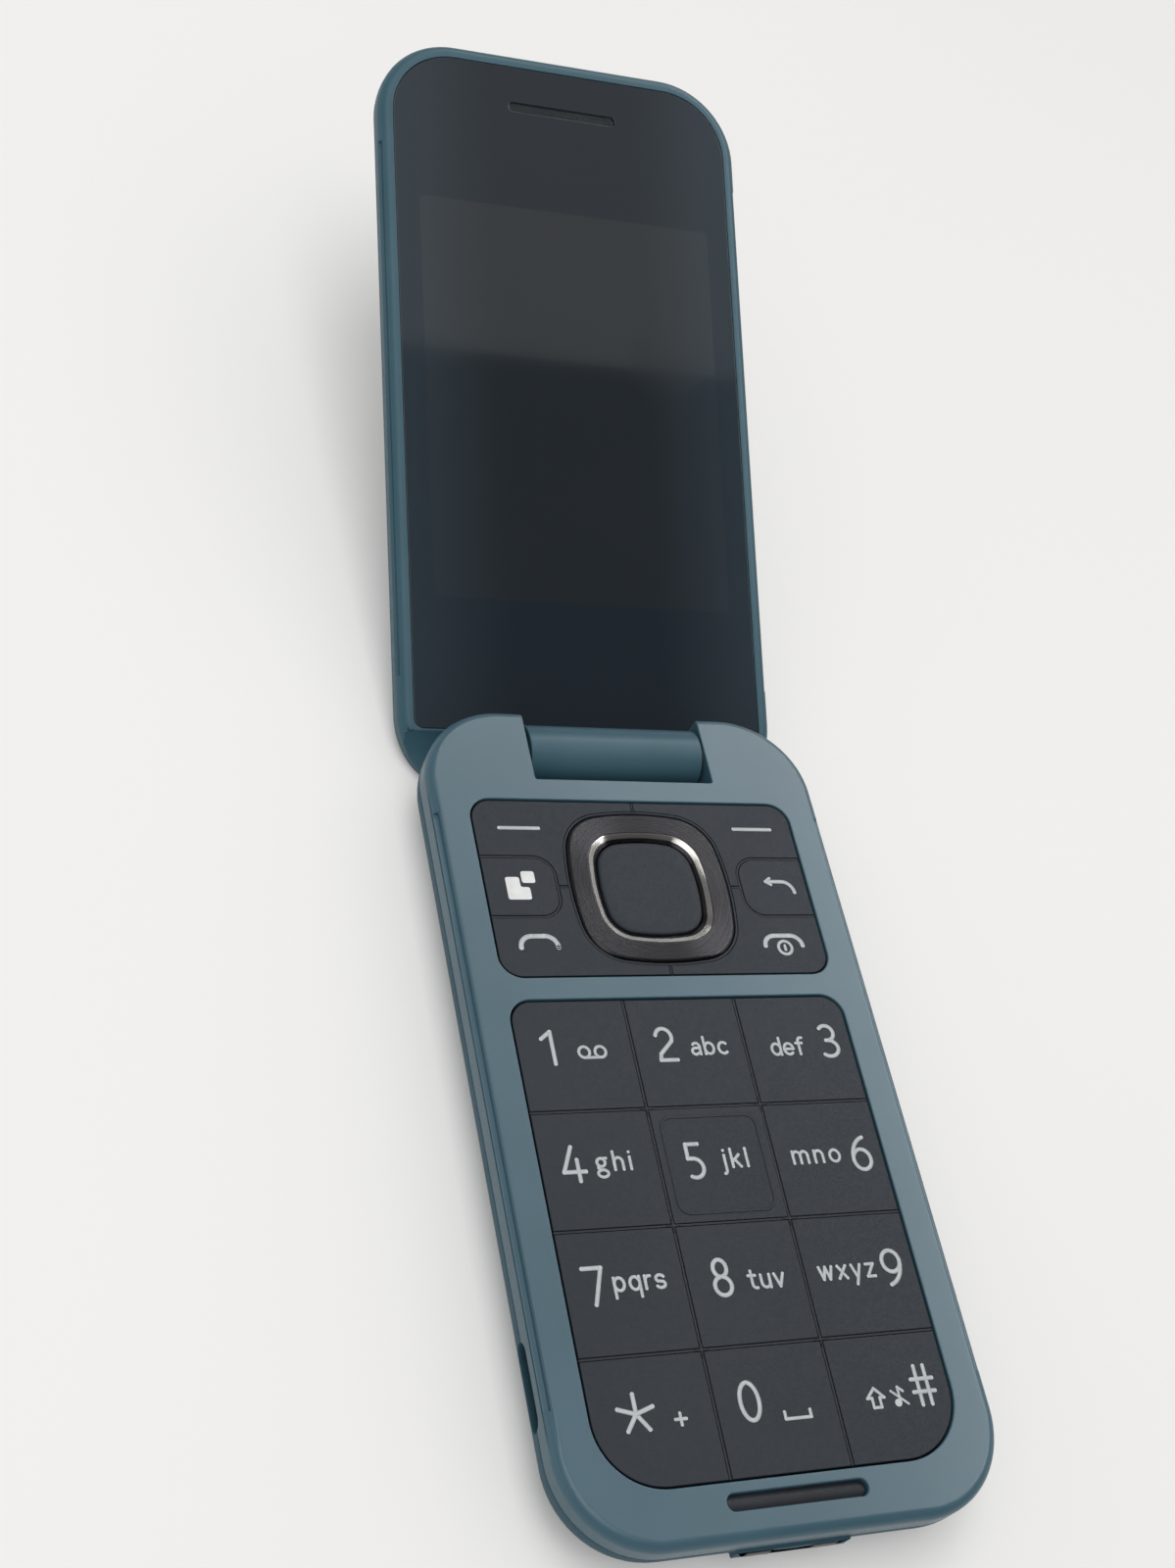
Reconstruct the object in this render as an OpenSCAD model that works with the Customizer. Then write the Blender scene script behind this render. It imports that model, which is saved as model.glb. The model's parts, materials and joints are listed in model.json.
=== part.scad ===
// Flip phone, open: keypad base flat on its back, display lid tilted up on a barrel hinge.
// Millimetres. X is the width, +Y points to the hinge, +Z is up; the base's back lies on Z = 0.

/* [Base] */
// Width of base and lid
base_w = 55; // [54:0.5:60]
// Length of the base, bottom end to ear ends
base_l = 108; // [106:0.5:116]
// Thickness of the base
base_t = 11.3; // [11.2:0.1:12.5]
// Corner radius seen from the front
corner_r = 11.5; // [10:0.1:12]
// Rounding of the front edge
front_edge_r = 1.3; // [0.9:0.1:1.3]
// Depth of the front housing, down to the side parting line
front_depth = 3.4; // [3.2:0.1:3.6]
// Wall of the housings
wall = 1.5; // [1.3:0.1:1.6]
// Thickness of the front plate
plate_t = 1.5; // [1.3:0.1:1.6]
// Height of the battery cover's rim
cover_h = 4.4; // [4:0.1:4.8]
// Length of the finger step along each side
grip_l = 76; // [50:1:84]
// How far the finger step cuts in from the side
grip_in = 0.8; // [0.4:0.1:1]
// How deep the finger step cuts
grip_deep = 0.9; // [0.5:0.1:1.1]

/* [Keys] */
// Border beside both key panels
panel_side = 4.8; // [4.7:0.1:5.4]
// Length of the number panel
keypad_l = 58.9; // [54:0.1:60]
// Length of the navigation panel
nav_l = 25.8; // [25:0.1:27]
// Bar between the panels
panel_bar = 3; // [2:0.1:4]
// Border below the number panel
panel_low = 6.4; // [6:0.1:8]
// Corner radius of the panels
panel_r = 3; // [2:0.1:4]
// Radius of the number panel's lower corners
panel_low_r = 8; // [6:0.1:9]
// Gap around every key
key_gap = 0.4; // [0.3:0.05:0.5]
// Height of a key cap
key_t = 1.4; // [1.2:0.05:1.4]
// How far the caps lie below the front face
key_recess = 0.15; // [0.1:0.05:0.3]
// Width of the four-way ring
ring_w = 22; // [20:0.2:23]
// Opening of the four-way ring
ring_in = 15.9; // [15:0.1:16.5]
// Width of the centre key
select_w = 13.6; // [12.5:0.1:14]
// Room between the ring and the shortcut and back keys
flank_gap = 2; // [1.5:0.1:3.5]
// Height of the shortcut key and the back key
flank_h = 8.3; // [7:0.1:9]
// Length of the grille slot
grille_l = 17.4; // [12:0.2:20]
// Height of the grille slot
grille_h = 1.9; // [1.5:0.1:2.2]
// From the bottom end to the middle of the grille slot
grille_end = 4.2; // [3.8:0.1:4.4]

/* [Hinge] */
// Depth of the hinge axis below the front face
hinge_drop = 3.9; // [3.8:0.05:4.1]
// From the hinge axis to the ear ends
ear_reach = 4.6; // [4.4:0.05:4.7]
// Radius of the lid's barrel
barrel_r = 4.1; // [3.9:0.05:4.1]
// Width of the notch between the ears
notch_w = 25.4; // [22:0.2:28]
// Rounding of the ears' inner corners
mouth_r = 0.8; // [0.4:0.1:1]
// From the hinge axis to the notch wall
notch_back = 6.1; // [5.5:0.1:6.5]
// Tilt of the open lid above the base
lid_tilt = 23; // [20:0.5:30]

/* [Lid] */
// Thickness of the lid
lid_t = 7.3; // [7:0.1:8]
// Gap between lid and base when closed
lid_gap = 0.3; // [0.3:0.05:0.5]
// Rounding of the lid's outer edge
lid_edge_r = 5.2; // [4:0.1:5.5]
// Depth of the lid's inner housing
bezel_t = 2.7; // [2.5:0.1:2.9]
// Rounding of the rim around the display side
lid_rim_r = 1.5; // [1:0.1:1.6]
// How far the finger step cuts into the lid's sides
lid_grip_in = 0.45; // [0.3:0.05:0.6]
// How deep the finger step cuts into the lid
lid_grip_deep = 1.3; // [1:0.1:1.5]
// Rim beside the display window
rim_side = 2; // [1.6:0.1:2.6]
// Rim beyond the display window
rim_end = 2.1; // [1.6:0.1:2.8]
// Width of the display
display_w = 44.2; // [40:0.2:46]
// Length of the display
display_l = 57.4; // [50:0.2:60]
// Middle of the display from the hinge axis
display_at = 51.2; // [46:0.2:54]
// Length of the earpiece slot
ear_slot_l = 16.4; // [12:0.2:20]
// Width of the outer window
outer_w = 38; // [34:0.5:42]
// Length of the outer window
outer_l = 46; // [44:0.5:50]

/* [Hidden] */
$fn = 64;
eps = 0.01;
far = 200;
// How far cuts pass a face, and the fit of pieces that are set in
over = 1;
fit = 0.05;
step_cut = 10;
back_r = base_t - front_depth;
front_low = base_t - front_depth;
hinge_y = base_l / 2 - ear_reach;
hinge_z = base_t - hinge_drop;
// Radius swept by the ear's front corner, and the lid's clearance around it
ear_over = 0.02;
ear_gap = 0.26;
ear_r = norm([ear_reach - front_edge_r, hinge_drop - front_edge_r]) + front_edge_r + ear_over;
relief_r = ear_r + ear_gap;
barrel_gap = 0.4;
barrel_l = notch_w - 2 * barrel_gap;
notch_y = hinge_y - notch_back;
notch_r = 0.3;
// How far the mouth's rounding stops short of the ear ends
mouth_off = 0.05;
cavity_end = notch_y - wall;
// End wall of the cover, clear of the open lid's end
tail_back = 4;
tail_y = hinge_y - tail_back;
seam = 0.1;
// Key stack
cap_top = base_t - key_recess;
cap_low = cap_top - key_t;
travel = 0.35;
plate_low = base_t - plate_t;
panel_w = base_w - 2 * panel_side;
board_drop = 0.5;
board_low = front_low - board_drop;
board_t = 0.8;
dome_h = 0.25;
mat_low = board_low + board_t + dome_h + fit;
mat_t = 0.4;
dome_r = 1.9;
pip_r = 1.6;
pip_gap = 0.1;
pip_top = cap_low - travel - pip_gap;
// Ribs of the mat in the gaps between keys: fit, and depth below the caps, less where gaps cross
rib_gap = 0.06;
rib_drop = 0.25;
flush_drop = 0.03;
cross_reach = 0.9;
rib_low = mat_low + mat_t / 2;
floor_t = 0.8;
floor_low = board_low - floor_t;
keypad_y0 = -base_l / 2 + panel_low;
keypad_y1 = keypad_y0 + keypad_l;
nav_y0 = keypad_y1 + panel_bar;
nav_y1 = nav_y0 + nav_l;
nav_c = (nav_y0 + nav_y1) / 2;
edge_gap = key_gap / 2 + fit;
rib_w = key_gap - 2 * rib_gap;
// Raised frame on the middle number key
frame_in = 1.1;
frame_w = 0.35;
frame_r = 1.6;
frame_h = 0.1;
// Bar in the grille slot, arched across
grille_y = -base_l / 2 + grille_end;
grille_sink = 0.55;
grille_arch = 1.6;
mic_size = [4, 2.6, 1.1];
mic_low = 0.6;
col_w = panel_w / 3;
row_l = keypad_l / 4;
flank_r = 2.6;
flank_l = (panel_w - ring_w) / 2 - flank_gap;
// How far the side keys are drawn past the panel's edge
flank_over = 3;
corner_in = [5.2, 4.4];
// Middles of the switches: number keys, corner keys, side keys, ring, centre
key_spots = [for (r = [0:3], c = [-1:1]) [c * col_w, keypad_y1 - (r + 0.5) * row_l]];
corner_spots = [for (sx = [-1, 1], sy = [-1, 1])
  [sx * (panel_w / 2 - corner_in[0]), nav_c + sy * (nav_l / 2 - corner_in[1])]];
flank_spots = [for (sx = [-1, 1]) [sx * (panel_w - flank_l) / 2, nav_c]];
ring_mid = (ring_w + ring_in) / 4;
ring_lift = 0.1;
ring_low = cap_low + ring_lift;
ring_top = base_t - fit;
throat_w = 14.45;
// The sloped inner wall is cut a little past both faces
ring_over = 0.1;
ring_flare = (ring_in - throat_w) * ring_over / (ring_top - ring_low);
ring_open = ring_in + ring_flare;
ring_shut = throat_w - ring_flare;
// Centre key and gimbal below the other caps
select_sink = 0.2;
select_drop = 0.15;
select_pip = 0.2;
gimbal_drop = 0.5;
gimbal_t = 0.35;
gimbal_in = 0.3;
ring_spots = [for (a = [0:90:270]) [ring_mid * cos(a), nav_c + ring_mid * sin(a)]];
// Screw bosses stand between the panels and the walls, sunk a little into the walls
boss_gap = 0.1;
boss_sink = 0.4;
boss_in = panel_w / 2 + boss_gap;
boss_out = base_w / 2 - wall + boss_sink;
boss_r = (boss_out - boss_in) / 2;
screw_x = (boss_out + boss_in) / 2;
screw_low = 34;
screw_high = 9.4;
screw_spots = [for (sx = [-1, 1], y = [-base_l / 2 + screw_low, cavity_end - screw_high]) [sx * screw_x, y]];
screw_r = 0.6;
head_r = 0.9;
head_h = 0.7;
screw_bite = 0.3;
screw_room = 0.5;
// Board and mat inside the housing
board_gap = 0.4;
board_end = 0.6;
mat_in = 0.4;
mat_end = 0.2;
// Side port
port_end = 19.8;
port_y = -base_l / 2 + port_end;
port_drop = 0.6;
port_over = 0.6;
port_z = front_low - port_drop;
port_l = 10;
port_h = 3;
shell_l = 7.6;
shell_h = 2.6;
shell_d = 5.4;
shell_nose = 0.4;
socket_gap = 0.4;
shell_t = 0.3;
shell_r = 0.7;
tongue_l = 5.4;
tongue_h = 0.7;
tongue_d = 3.9;
// Side keys
rocker_from = 31.4;
rocker_y = hinge_y - rocker_from;
rocker_l = 18.4;
side_pitch = 22;
button_y = rocker_y - side_pitch;
button_l = 8;
side_h = 2.1;
side_drop = 1.75;
side_proud = 0.3;
side_deep = 2.3;
side_z = front_low - side_drop;
side_out = base_w / 2 + side_proud;
side_in = base_w / 2 - side_deep;
pocket_gap = 0.3;
pocket_back = 0.8;
// Bottom contacts
strip_l = 14.2;
strip_h = 2;
strip_drop = 1.4;
strip_z = front_low - strip_drop;
strip_out = 0.3;
pad_pitch = 8.2;
pad_l = 3;
pad_h = 1.3;
pad_t = 0.7;
pad_proud = 0.1;
// Inside the base: card holder and motor next to the hinge, and the cell in the room that they leave
inner_w = base_w - 2 * wall;
rest_gap = 0.1;
card_room = 17.8;
card_y = cavity_end - card_room / 2;
card_w = 24;
card_l = 12.5;
card_t = 1.4;
card_low = floor_low - rest_gap - card_t;
card_sheet = 0.3;
motor_r = 4.5;
motor_t = 2.8;
motor_side = 1.5;
cell_w = 35;
cell_t = floor_low - wall - 2 * rest_gap;
cell_r = 2;
cell_end = 24;
cell_y0 = -base_l / 2 + cell_end;
cell_y1 = cavity_end - card_room;
speaker_w = 16;
speaker_l = 11;
speaker_t = 3.7;
speaker_r = 2;
speaker_gap = 2;
speaker_y = cell_y0 - speaker_gap - speaker_l / 2;
slot_pitch = 2.4;
slot_w = 1.2;
slot_l = 7;
// Hinge hardware
bore_r = 3.1;
bush_wall = 0.75;
flex_r = 2;
flex_t = 0.3;
flex_slit = 0.8;
run_gap = 0.05;
shaft_r = 1.6;
shaft_side = 7;
shaft_end = base_w / 2 - shaft_side;
// How far the unit passes the middle, and how far bush and shaft reach into the barrel
unit_end = 1.5;
bush_grip = 6.9;
shaft_grip = 7.4;
unit_gap = 0.02;
unit_room = 0.3;
flex_gap = 0.3;
flex_end = 1;
// Neck between barrel and lid
neck_w = 1.5 * barrel_r;
neck_top = 0.6 * barrel_r;
neck_in = 1;
bush_in = barrel_l / 2 - bush_grip;
// Lid, in its own frame: hinge axis at the origin, Y along the lid, Z out of the display side
lid_in = -(hinge_drop + lid_gap);
lid_out = lid_in - lid_t;
lid_split = lid_in - bezel_t;
lid_over = 0.4;
lid_y0 = -ear_reach - lid_over;
lid_y1 = hinge_y + base_l / 2;
lid_l = lid_y1 - lid_y0;
lid_c = (lid_y0 + lid_y1) / 2;
lid_wall = 1.3;
glass_t = 0.75;
glass_sink = 0.1;
// Lip between the ears' room and the window
glass_lip = 0.45;
glass_y0 = sqrt(relief_r * relief_r - pow(lid_in - glass_sink, 2)) + glass_lip;
glass_y1 = lid_y1 - rim_end;
glass_w = base_w - 2 * rim_side;
glass_r0 = 1.2;
glass_r1 = corner_r - rim_end;
glass_low = lid_in - glass_sink - glass_t;
bed_t = 0.8;
bed_low = glass_low - bed_t;
bed_r = 1;
room_in = 0.5;
room_r = 2;
taper_r = 55;
taper_at = 3.6;
taper_end = 14;
taper_top = 4;
table_gap = 0.3;
cover_in = 7;
ear_slot_end = 8.2;
ear_slot_y = lid_y1 - ear_slot_end;
ear_slot_h = 1.35;
duct_end = 0.3;
duct_side = 0.15;
gauze_sink = 0.3;
ear_size = [12, 6, 2.2];
ear_round = 2;
ear_off = 0.6;
magnet_size = [8, 4, 1.6];
magnet_side = 9.5;
magnet_x = -glass_w / 2 + magnet_side;
magnet_off = 1;
panel_t = 1.5;
panel_rim = 1.3;
panel_end = 1.8;
panel_fit = 0.2;
screen_r = 0.8;
outer_end = 25.8;
outer_c = lid_y1 - outer_end - outer_l / 2;
outer_r = 5;
outer_sink = 0.05;
window_t = 0.8;
outer_ledge = 1.2;
outer_rim = 2.5;
outer_display_w = outer_w - 2 * outer_rim;
outer_display_l = 28;
outer_display_t = 1.4;
outer_display_end = 3.6;
outer_display_y = outer_c + outer_l / 2 - outer_display_l / 2 - outer_display_end;
camera_end = 6.4;
camera_y = outer_c - outer_l / 2 + camera_end;
camera_r = 3.8;
lens_r = 2.5;
lens_bow = 12;
bezel_out = 0.15;
module_h = 3.2;
module_in = 0.4;
module_gap = 0.2;
lid_board_t = 0.7;
lid_board_gap = 1.1;
lid_board_in = 1.4;
lid_board_over = 4;
lid_board_r = 2;
flash_x = 9.5;
flash_r = 1.5;
flash_deep = 0.4;
// Shape of the ring and the centre key: corner radius and bow of the sides, as shares of the width
squircle_corner = 0.272;
squircle_bow = 1.6;
// Colours
shell_c = [0.33, 0.45, 0.5];
key_c = [0.2, 0.21, 0.22];
metal_c = [0.6, 0.6, 0.62];
dark_c = [0.07, 0.08, 0.1];
board_c = [0.1, 0.3, 0.2];

// Stands a flat shape up in the Y-Z plane and extrudes it from x0 to x1
module along_x(x0, x1) {
  translate([x0, 0, 0])
    rotate([90, 0, 90])
      linear_extrude(x1 - x0)
        children();
}

// Extrudes a flat shape from z0 to z1
module between(z0, z1) {
  translate([0, 0, z0])
    linear_extrude(z1 - z0)
      children();
}

// Carries a piece from the lid's own frame to its open place
module in_lid() {
  translate([0, hinge_y, hinge_z])
    rotate([lid_tilt, 0, 0])
      children();
}

// Rounded rectangle about the origin
module rounded(w, l, r) {
  square([w - 2 * r, l], center = true);
  square([w, l - 2 * r], center = true);
  for (sx = [-1, 1], sy = [-1, 1])
    translate([sx * (w / 2 - r), sy * (l / 2 - r)])
      circle(r);
}

// Rounded panel from y0 to y1 with its own radius at each end
module panel(w, y0, y1, r0, r1) {
  rb = max(r0, r1);
  translate([-w / 2 + rb, y0])
    square([w - 2 * rb, y1 - y0]);
  translate([-w / 2, y0 + r0])
    square([w, y1 - y0 - r0 - r1]);
  for (sx = [-1, 1]) {
    translate([sx * (w / 2 - r0), y0 + r0])
      circle(r0);
    translate([sx * (w / 2 - r1), y1 - r1])
      circle(r1);
  }
  translate([-w / 2 + r0, y0])
    square([w - 2 * r0, 2 * r0]);
  translate([-w / 2 + r1, y1 - 2 * r1])
    square([w - 2 * r1, 2 * r1]);
}

// Overlap of two circles of radius r set b either side of the origin
module lens(b, r) {
  intersection() {
    translate([-b, 0])
      circle(r);
    translate([b, 0])
      circle(r);
  }
}

// Square with bowed sides and round corners, width w
module squircle(w) {
  rc = squircle_corner * w;
  rb = squircle_bow * w;
  b = rb - w / 2;
  c = (sqrt(2 * (rb - rc) * (rb - rc) - b * b) - b) / 2;
  k = 2 * c + rc * (2 * c + b) / (rb - rc);
  intersection() {
    rotate(45)
      square(k * sqrt(2), center = true);
    lens(b, rb);
    rotate(90)
      lens(b, rb);
  }
  for (sx = [-1, 1], sy = [-1, 1])
    translate([sx * c, sy * c])
      circle(rc);
}

// What a quarter round of radius r leaves outside, turned to quadrant q
module corner_cut(r, q) {
  rotate(90 * q)
    difference() {
      square(r + step_cut);
      circle(r);
    }
}

// Carries an edge profile around a rounded rectangle of w by l with corner radius r
module around(w, l, r) {
  for (i = [0:3]) {
    reach = i % 2 == 0 ? w / 2 - r : l / 2 - r;
    half = i % 2 == 0 ? l / 2 - r : w / 2 - r;
    rotate(90 * i)
      translate([reach, half, 0]) {
        rotate_extrude(angle = 90)
          children();
        rotate([90, 0, 0])
          linear_extrude(2 * half)
            children();
      }
  }
}

// Edge profile of the base, from the corner's centre outward
module base_profile(inset) {
  difference() {
    square([corner_r - inset, base_t]);
    translate([corner_r - back_r, back_r])
      corner_cut(back_r - inset, -1);
    translate([corner_r - front_edge_r, base_t - front_edge_r])
      corner_cut(front_edge_r, 0);
  }
}

// Slice of the base's outer form from z0 to z1, or of the form inset by a wall
module base_form(z0, z1, inset = 0) {
  around(base_w, base_l, corner_r)
    intersection() {
      base_profile(inset);
      translate([0, z0])
        square([corner_r, z1 - z0]);
    }
  between(z0, z1)
    square([base_w - 2 * corner_r, base_l - 2 * corner_r], center = true);
}

// Space from the bottom end up to the notch wall
module short_of(y) {
  translate([-far / 2, y - far, -far / 2])
    cube(far);
}

// Inside outline of the base, with a margin from the wall
module inside(margin) {
  r = corner_r - wall - margin;
  panel(inner_w - 2 * margin, -base_l / 2 + wall + margin, cavity_end - margin, r, bed_r);
}

// Notch between the ears, through the whole base, with its corners eased
module notch() {
  between(-over, base_t + over) {
    translate([-notch_w / 2, notch_y + notch_r])
      square([notch_w, far]);
    translate([-notch_w / 2 + notch_r, notch_y])
      square([notch_w - 2 * notch_r, far]);
    for (sx = [-1, 1]) {
      translate([sx * (notch_w / 2 - notch_r), notch_y + notch_r])
        circle(notch_r);
      translate([sx * notch_w / 2, base_l / 2])
        difference() {
          square(2 * (mouth_r - mouth_off), center = true);
          translate([sx * mouth_r, mouth_off - mouth_r])
            circle(mouth_r);
        }
    }
  }
}

// Bore for the shaft in the left ear and for the bush in the right ear
module ear_bores() {
  translate([-shaft_end, hinge_y, hinge_z])
    rotate([0, 90, 0])
      cylinder(r = shaft_r + run_gap, h = shaft_end);
  translate([0, hinge_y, hinge_z])
    rotate([0, 90, 0])
      cylinder(r = bore_r, h = shaft_end);
}

// Rounded opening of the side port
module port_cut() {
  translate([0, port_y, port_z])
    along_x(-base_w, -base_w / 2 + wall + port_over)
      rounded(port_l, port_h, port_h / 2 - eps);
}

// Room for the socket in the floor, the board and the key mat
module socket_room() {
  translate([-base_w / 2 + wall, port_y - shell_l / 2 - socket_gap, floor_low - over])
    cube([shell_d + 2 * socket_gap, shell_l + 2 * socket_gap, base_t]);
}

module base_front_housing() {
  color(shell_c)
    difference() {
      base_form(front_low, base_t);
      difference() {
        between(front_low - over, plate_low)
          inside(0);
        for (p = screw_spots)
          translate(p)
            cylinder(r = boss_r, h = base_t);
      }
      for (p = screw_spots)
        translate([p[0], p[1], front_low - over])
          cylinder(r = screw_r + run_gap, h = plate_low - front_low + over + screw_room);
      between(plate_low - over, base_t + over) {
        nav_outline(0);
        keypad_outline(0);
        translate([0, grille_y])
          rounded(grille_l, grille_h, grille_h / 2 - eps);
      }
      for (sx = [-1, 1])
        translate([sx * (base_w / 2 - grip_in + step_cut / 2), 0, base_t - grip_deep + step_cut / 2])
          cube([step_cut, grip_l, step_cut], center = true);
      notch();
      ear_bores();
      port_cut();
    }
}

// Side view of the rear housing: the band, and the ears rounded about the hinge axis
module rear_side() {
  translate([-base_l, cover_h])
    square([base_l + tail_y, front_low - cover_h]);
  translate([0, hinge_z])
    square([far, front_low - hinge_z]);
  intersection() {
    translate([hinge_y, hinge_z])
      circle(ear_r);
    translate([tail_y, 0])
      square([far, front_low]);
  }
}

module base_rear_housing() {
  color(shell_c)
    difference() {
      union() {
        difference() {
          intersection() {
            base_form(0, front_low);
            along_x(-base_w, base_w)
              rear_side();
          }
          intersection() {
            base_form(wall, front_low + eps, wall);
            short_of(cavity_end);
          }
        }
        between(floor_low, board_low)
          inside(-boss_sink);
        for (p = screw_spots)
          translate([p[0], p[1], floor_low])
            cylinder(r = boss_r, h = front_low - floor_low);
        translate([-strip_l / 2, -base_l / 2 - strip_out, strip_z - strip_h / 2])
          cube([strip_l, wall + strip_out, strip_h]);
      }
      for (p = screw_spots)
        translate([p[0], p[1], floor_low - over])
          cylinder(r = screw_r + run_gap, h = base_t);
      contact_pads(run_gap);
      notch();
      ear_bores();
      port_cut();
      socket_room();
      for (s = [[rocker_y, rocker_l], [button_y, button_l]])
        translate([0, s[0], side_z])
          along_x(side_in - pocket_back, base_w)
            rounded(s[1] + 2 * pocket_gap, side_h + 2 * pocket_gap, side_h / 2 + pocket_gap - eps);
    }
}

module battery_cover() {
  color(shell_c)
    difference() {
      intersection() {
        base_form(0, cover_h - seam);
        short_of(tail_y);
      }
      intersection() {
        base_form(wall, cover_h + eps, wall);
        short_of(cavity_end);
      }
      notch();
      for (i = [-2:2])
        translate([i * slot_pitch, speaker_y, 0])
          between(-over, wall + over)
            rounded(slot_w, slot_l, slot_w / 2 - eps);
    }
}

module battery() {
  color(metal_c)
    between(wall + rest_gap, wall + rest_gap + cell_t)
      panel(cell_w, cell_y0, cell_y1, cell_r, cell_r);
}

module main_board() {
  color(board_c)
    difference() {
      between(board_low, board_low + board_t)
        panel(2 * (screw_x - boss_r - board_gap), keypad_y0, cavity_end - board_end, panel_low_r, bed_r);
      socket_room();
    }
}

module dome_switches() {
  color(metal_c)
    for (p = concat(key_spots, corner_spots, flank_spots, ring_spots, [[0, nav_c]]))
      translate([p[0], p[1], board_low + board_t])
        cylinder(r = dome_r, h = dome_h);
}

// Middle lines of the gaps between the number keys
module gap_lines() {
  for (sx = [-1, 1])
    translate([sx * col_w / 2, (keypad_y0 + keypad_y1) / 2])
      square([rib_w, keypad_l], center = true);
  for (r = [1:3])
    translate([0, keypad_y1 - r * row_l])
      square([panel_w, rib_w], center = true);
}

// Ribs between the number keys, nearly flush where two gaps cross
module keypad_ribs() {
  between(rib_low, cap_top - rib_drop)
    intersection() {
      keypad_outline(edge_gap);
      gap_lines();
    }
  between(rib_low, cap_top - flush_drop)
    intersection() {
      gap_lines();
      for (sx = [-1, 1], r = [1:3])
        translate([sx * col_w / 2, keypad_y1 - r * row_l])
          square(2 * cross_reach, center = true);
    }
}

// Ribs around the side keys and, nearly flush, in the split above and below the ring
module nav_ribs() {
  between(rib_low, cap_top - rib_drop)
    intersection() {
      nav_outline(edge_gap);
      for (s = [-1, 1])
        difference() {
          flank(s, key_gap - rib_gap);
          flank(s, rib_gap);
        }
    }
  between(rib_low, cap_top - flush_drop)
    difference() {
      intersection() {
        nav_outline(edge_gap);
        translate([0, nav_c])
          square([rib_w, nav_l], center = true);
      }
      translate([0, nav_c])
        squircle(ring_w + 2 * key_gap);
    }
}

module key_mat() {
  color(key_c) {
    difference() {
      between(mat_low, mat_low + mat_t)
        panel(panel_w - 2 * mat_in, keypad_y0 + mat_end, nav_y1 - mat_end, panel_low_r, panel_r);
      socket_room();
    }
    for (p = concat(key_spots, corner_spots, flank_spots))
      translate([p[0], p[1], mat_low])
        cylinder(r = pip_r, h = pip_top - mat_low);
    translate([0, nav_c, mat_low])
      cylinder(r = pip_r, h = pip_top - select_pip - mat_low);
    keypad_ribs();
    nav_ribs();
  }
}

module mic_grille() {
  color(dark_c)
    translate([0, grille_y, 0])
      intersection() {
        between(plate_low, base_t)
          rounded(grille_l - 2 * run_gap, grille_h - 2 * run_gap, grille_h / 2 - run_gap - eps);
        translate([0, 0, base_t - grille_sink - grille_arch])
          along_x(-grille_l, grille_l)
            circle(grille_arch);
      }
}

module microphone() {
  color(metal_c)
    translate([0, grille_y, plate_low - mic_low])
      cube(mic_size, center = true);
}

module loudspeaker() {
  color(dark_c)
    translate([0, speaker_y, 0])
      between(wall + rest_gap, wall + rest_gap + speaker_t)
        rounded(speaker_w, speaker_l, speaker_r);
}

module vibration_motor() {
  color(metal_c)
    translate([cell_w / 2 - motor_r - motor_side, card_y, floor_low - rest_gap - motor_t])
      cylinder(r = motor_r, h = motor_t);
}

module usb_socket() {
  color(metal_c)
    translate([-base_w / 2 + wall, port_y, port_z]) {
      difference() {
        along_x(-shell_nose, shell_d)
          rounded(shell_l, shell_h, shell_r);
        along_x(-wall, shell_d - 2 * shell_t)
          rounded(shell_l - 2 * shell_t, shell_h - 2 * shell_t, shell_r - shell_t);
      }
      along_x(shell_d - shell_t - tongue_d, shell_d - shell_t)
        square([tongue_l, tongue_h], center = true);
    }
}

module card_holder() {
  color(metal_c)
    difference() {
      translate([-cell_w / 2, card_y - card_l / 2, card_low])
        cube([card_w, card_l, card_t]);
      translate([-cell_w / 2 + card_sheet, card_y - card_l / 2 - over, card_low + card_sheet])
        cube([card_w - 2 * card_sheet, card_l + over - card_sheet, card_t - 2 * card_sheet]);
    }
}

// The two contact pads in their strip, grown by a gap
module contact_pads(grow) {
  for (sx = [-1, 1])
    translate([sx * pad_pitch / 2, -base_l / 2 - strip_out + pad_t / 2 - pad_proud, strip_z])
      cube([pad_l + 2 * grow, pad_t + 2 * grow, pad_h + 2 * grow], center = true);
}

module cradle_contacts() {
  color(metal_c)
    contact_pads(0);
}

module base_screws() {
  color(metal_c)
    for (p = screw_spots)
      translate([p[0], p[1], floor_low - head_h]) {
        cylinder(r = head_r, h = head_h);
        cylinder(r = screw_r, h = plate_low - floor_low + head_h + screw_bite);
      }
}

module hinge_shaft() {
  color(metal_c)
    translate([-shaft_end + rest_gap, hinge_y, hinge_z])
      rotate([0, 90, 0])
        cylinder(r = shaft_r, h = shaft_end - rest_gap - barrel_l / 2 + shaft_grip);
}

module hinge_bush() {
  color(metal_c)
    translate([bush_in, hinge_y, hinge_z])
      rotate([0, 90, 0])
        difference() {
          cylinder(r = bore_r - run_gap, h = shaft_end - bush_in - rest_gap);
          translate([0, 0, -over])
            cylinder(r = bore_r - run_gap - bush_wall, h = far);
        }
}

// One key on the right side
module side_cap(y, l) {
  translate([0, y, side_z])
    along_x(side_in, side_out)
      rounded(l, side_h, side_h / 2 - eps);
}

module volume_rocker() {
  color(shell_c)
    side_cap(rocker_y, rocker_l);
}

module side_button() {
  color(shell_c)
    side_cap(button_y, button_l);
}

// Outline of the number panel, inset by a gap
module keypad_outline(inset) {
  panel(panel_w - 2 * inset, keypad_y0 + inset, keypad_y1 - inset, panel_low_r - inset, panel_r - inset);
}

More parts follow.
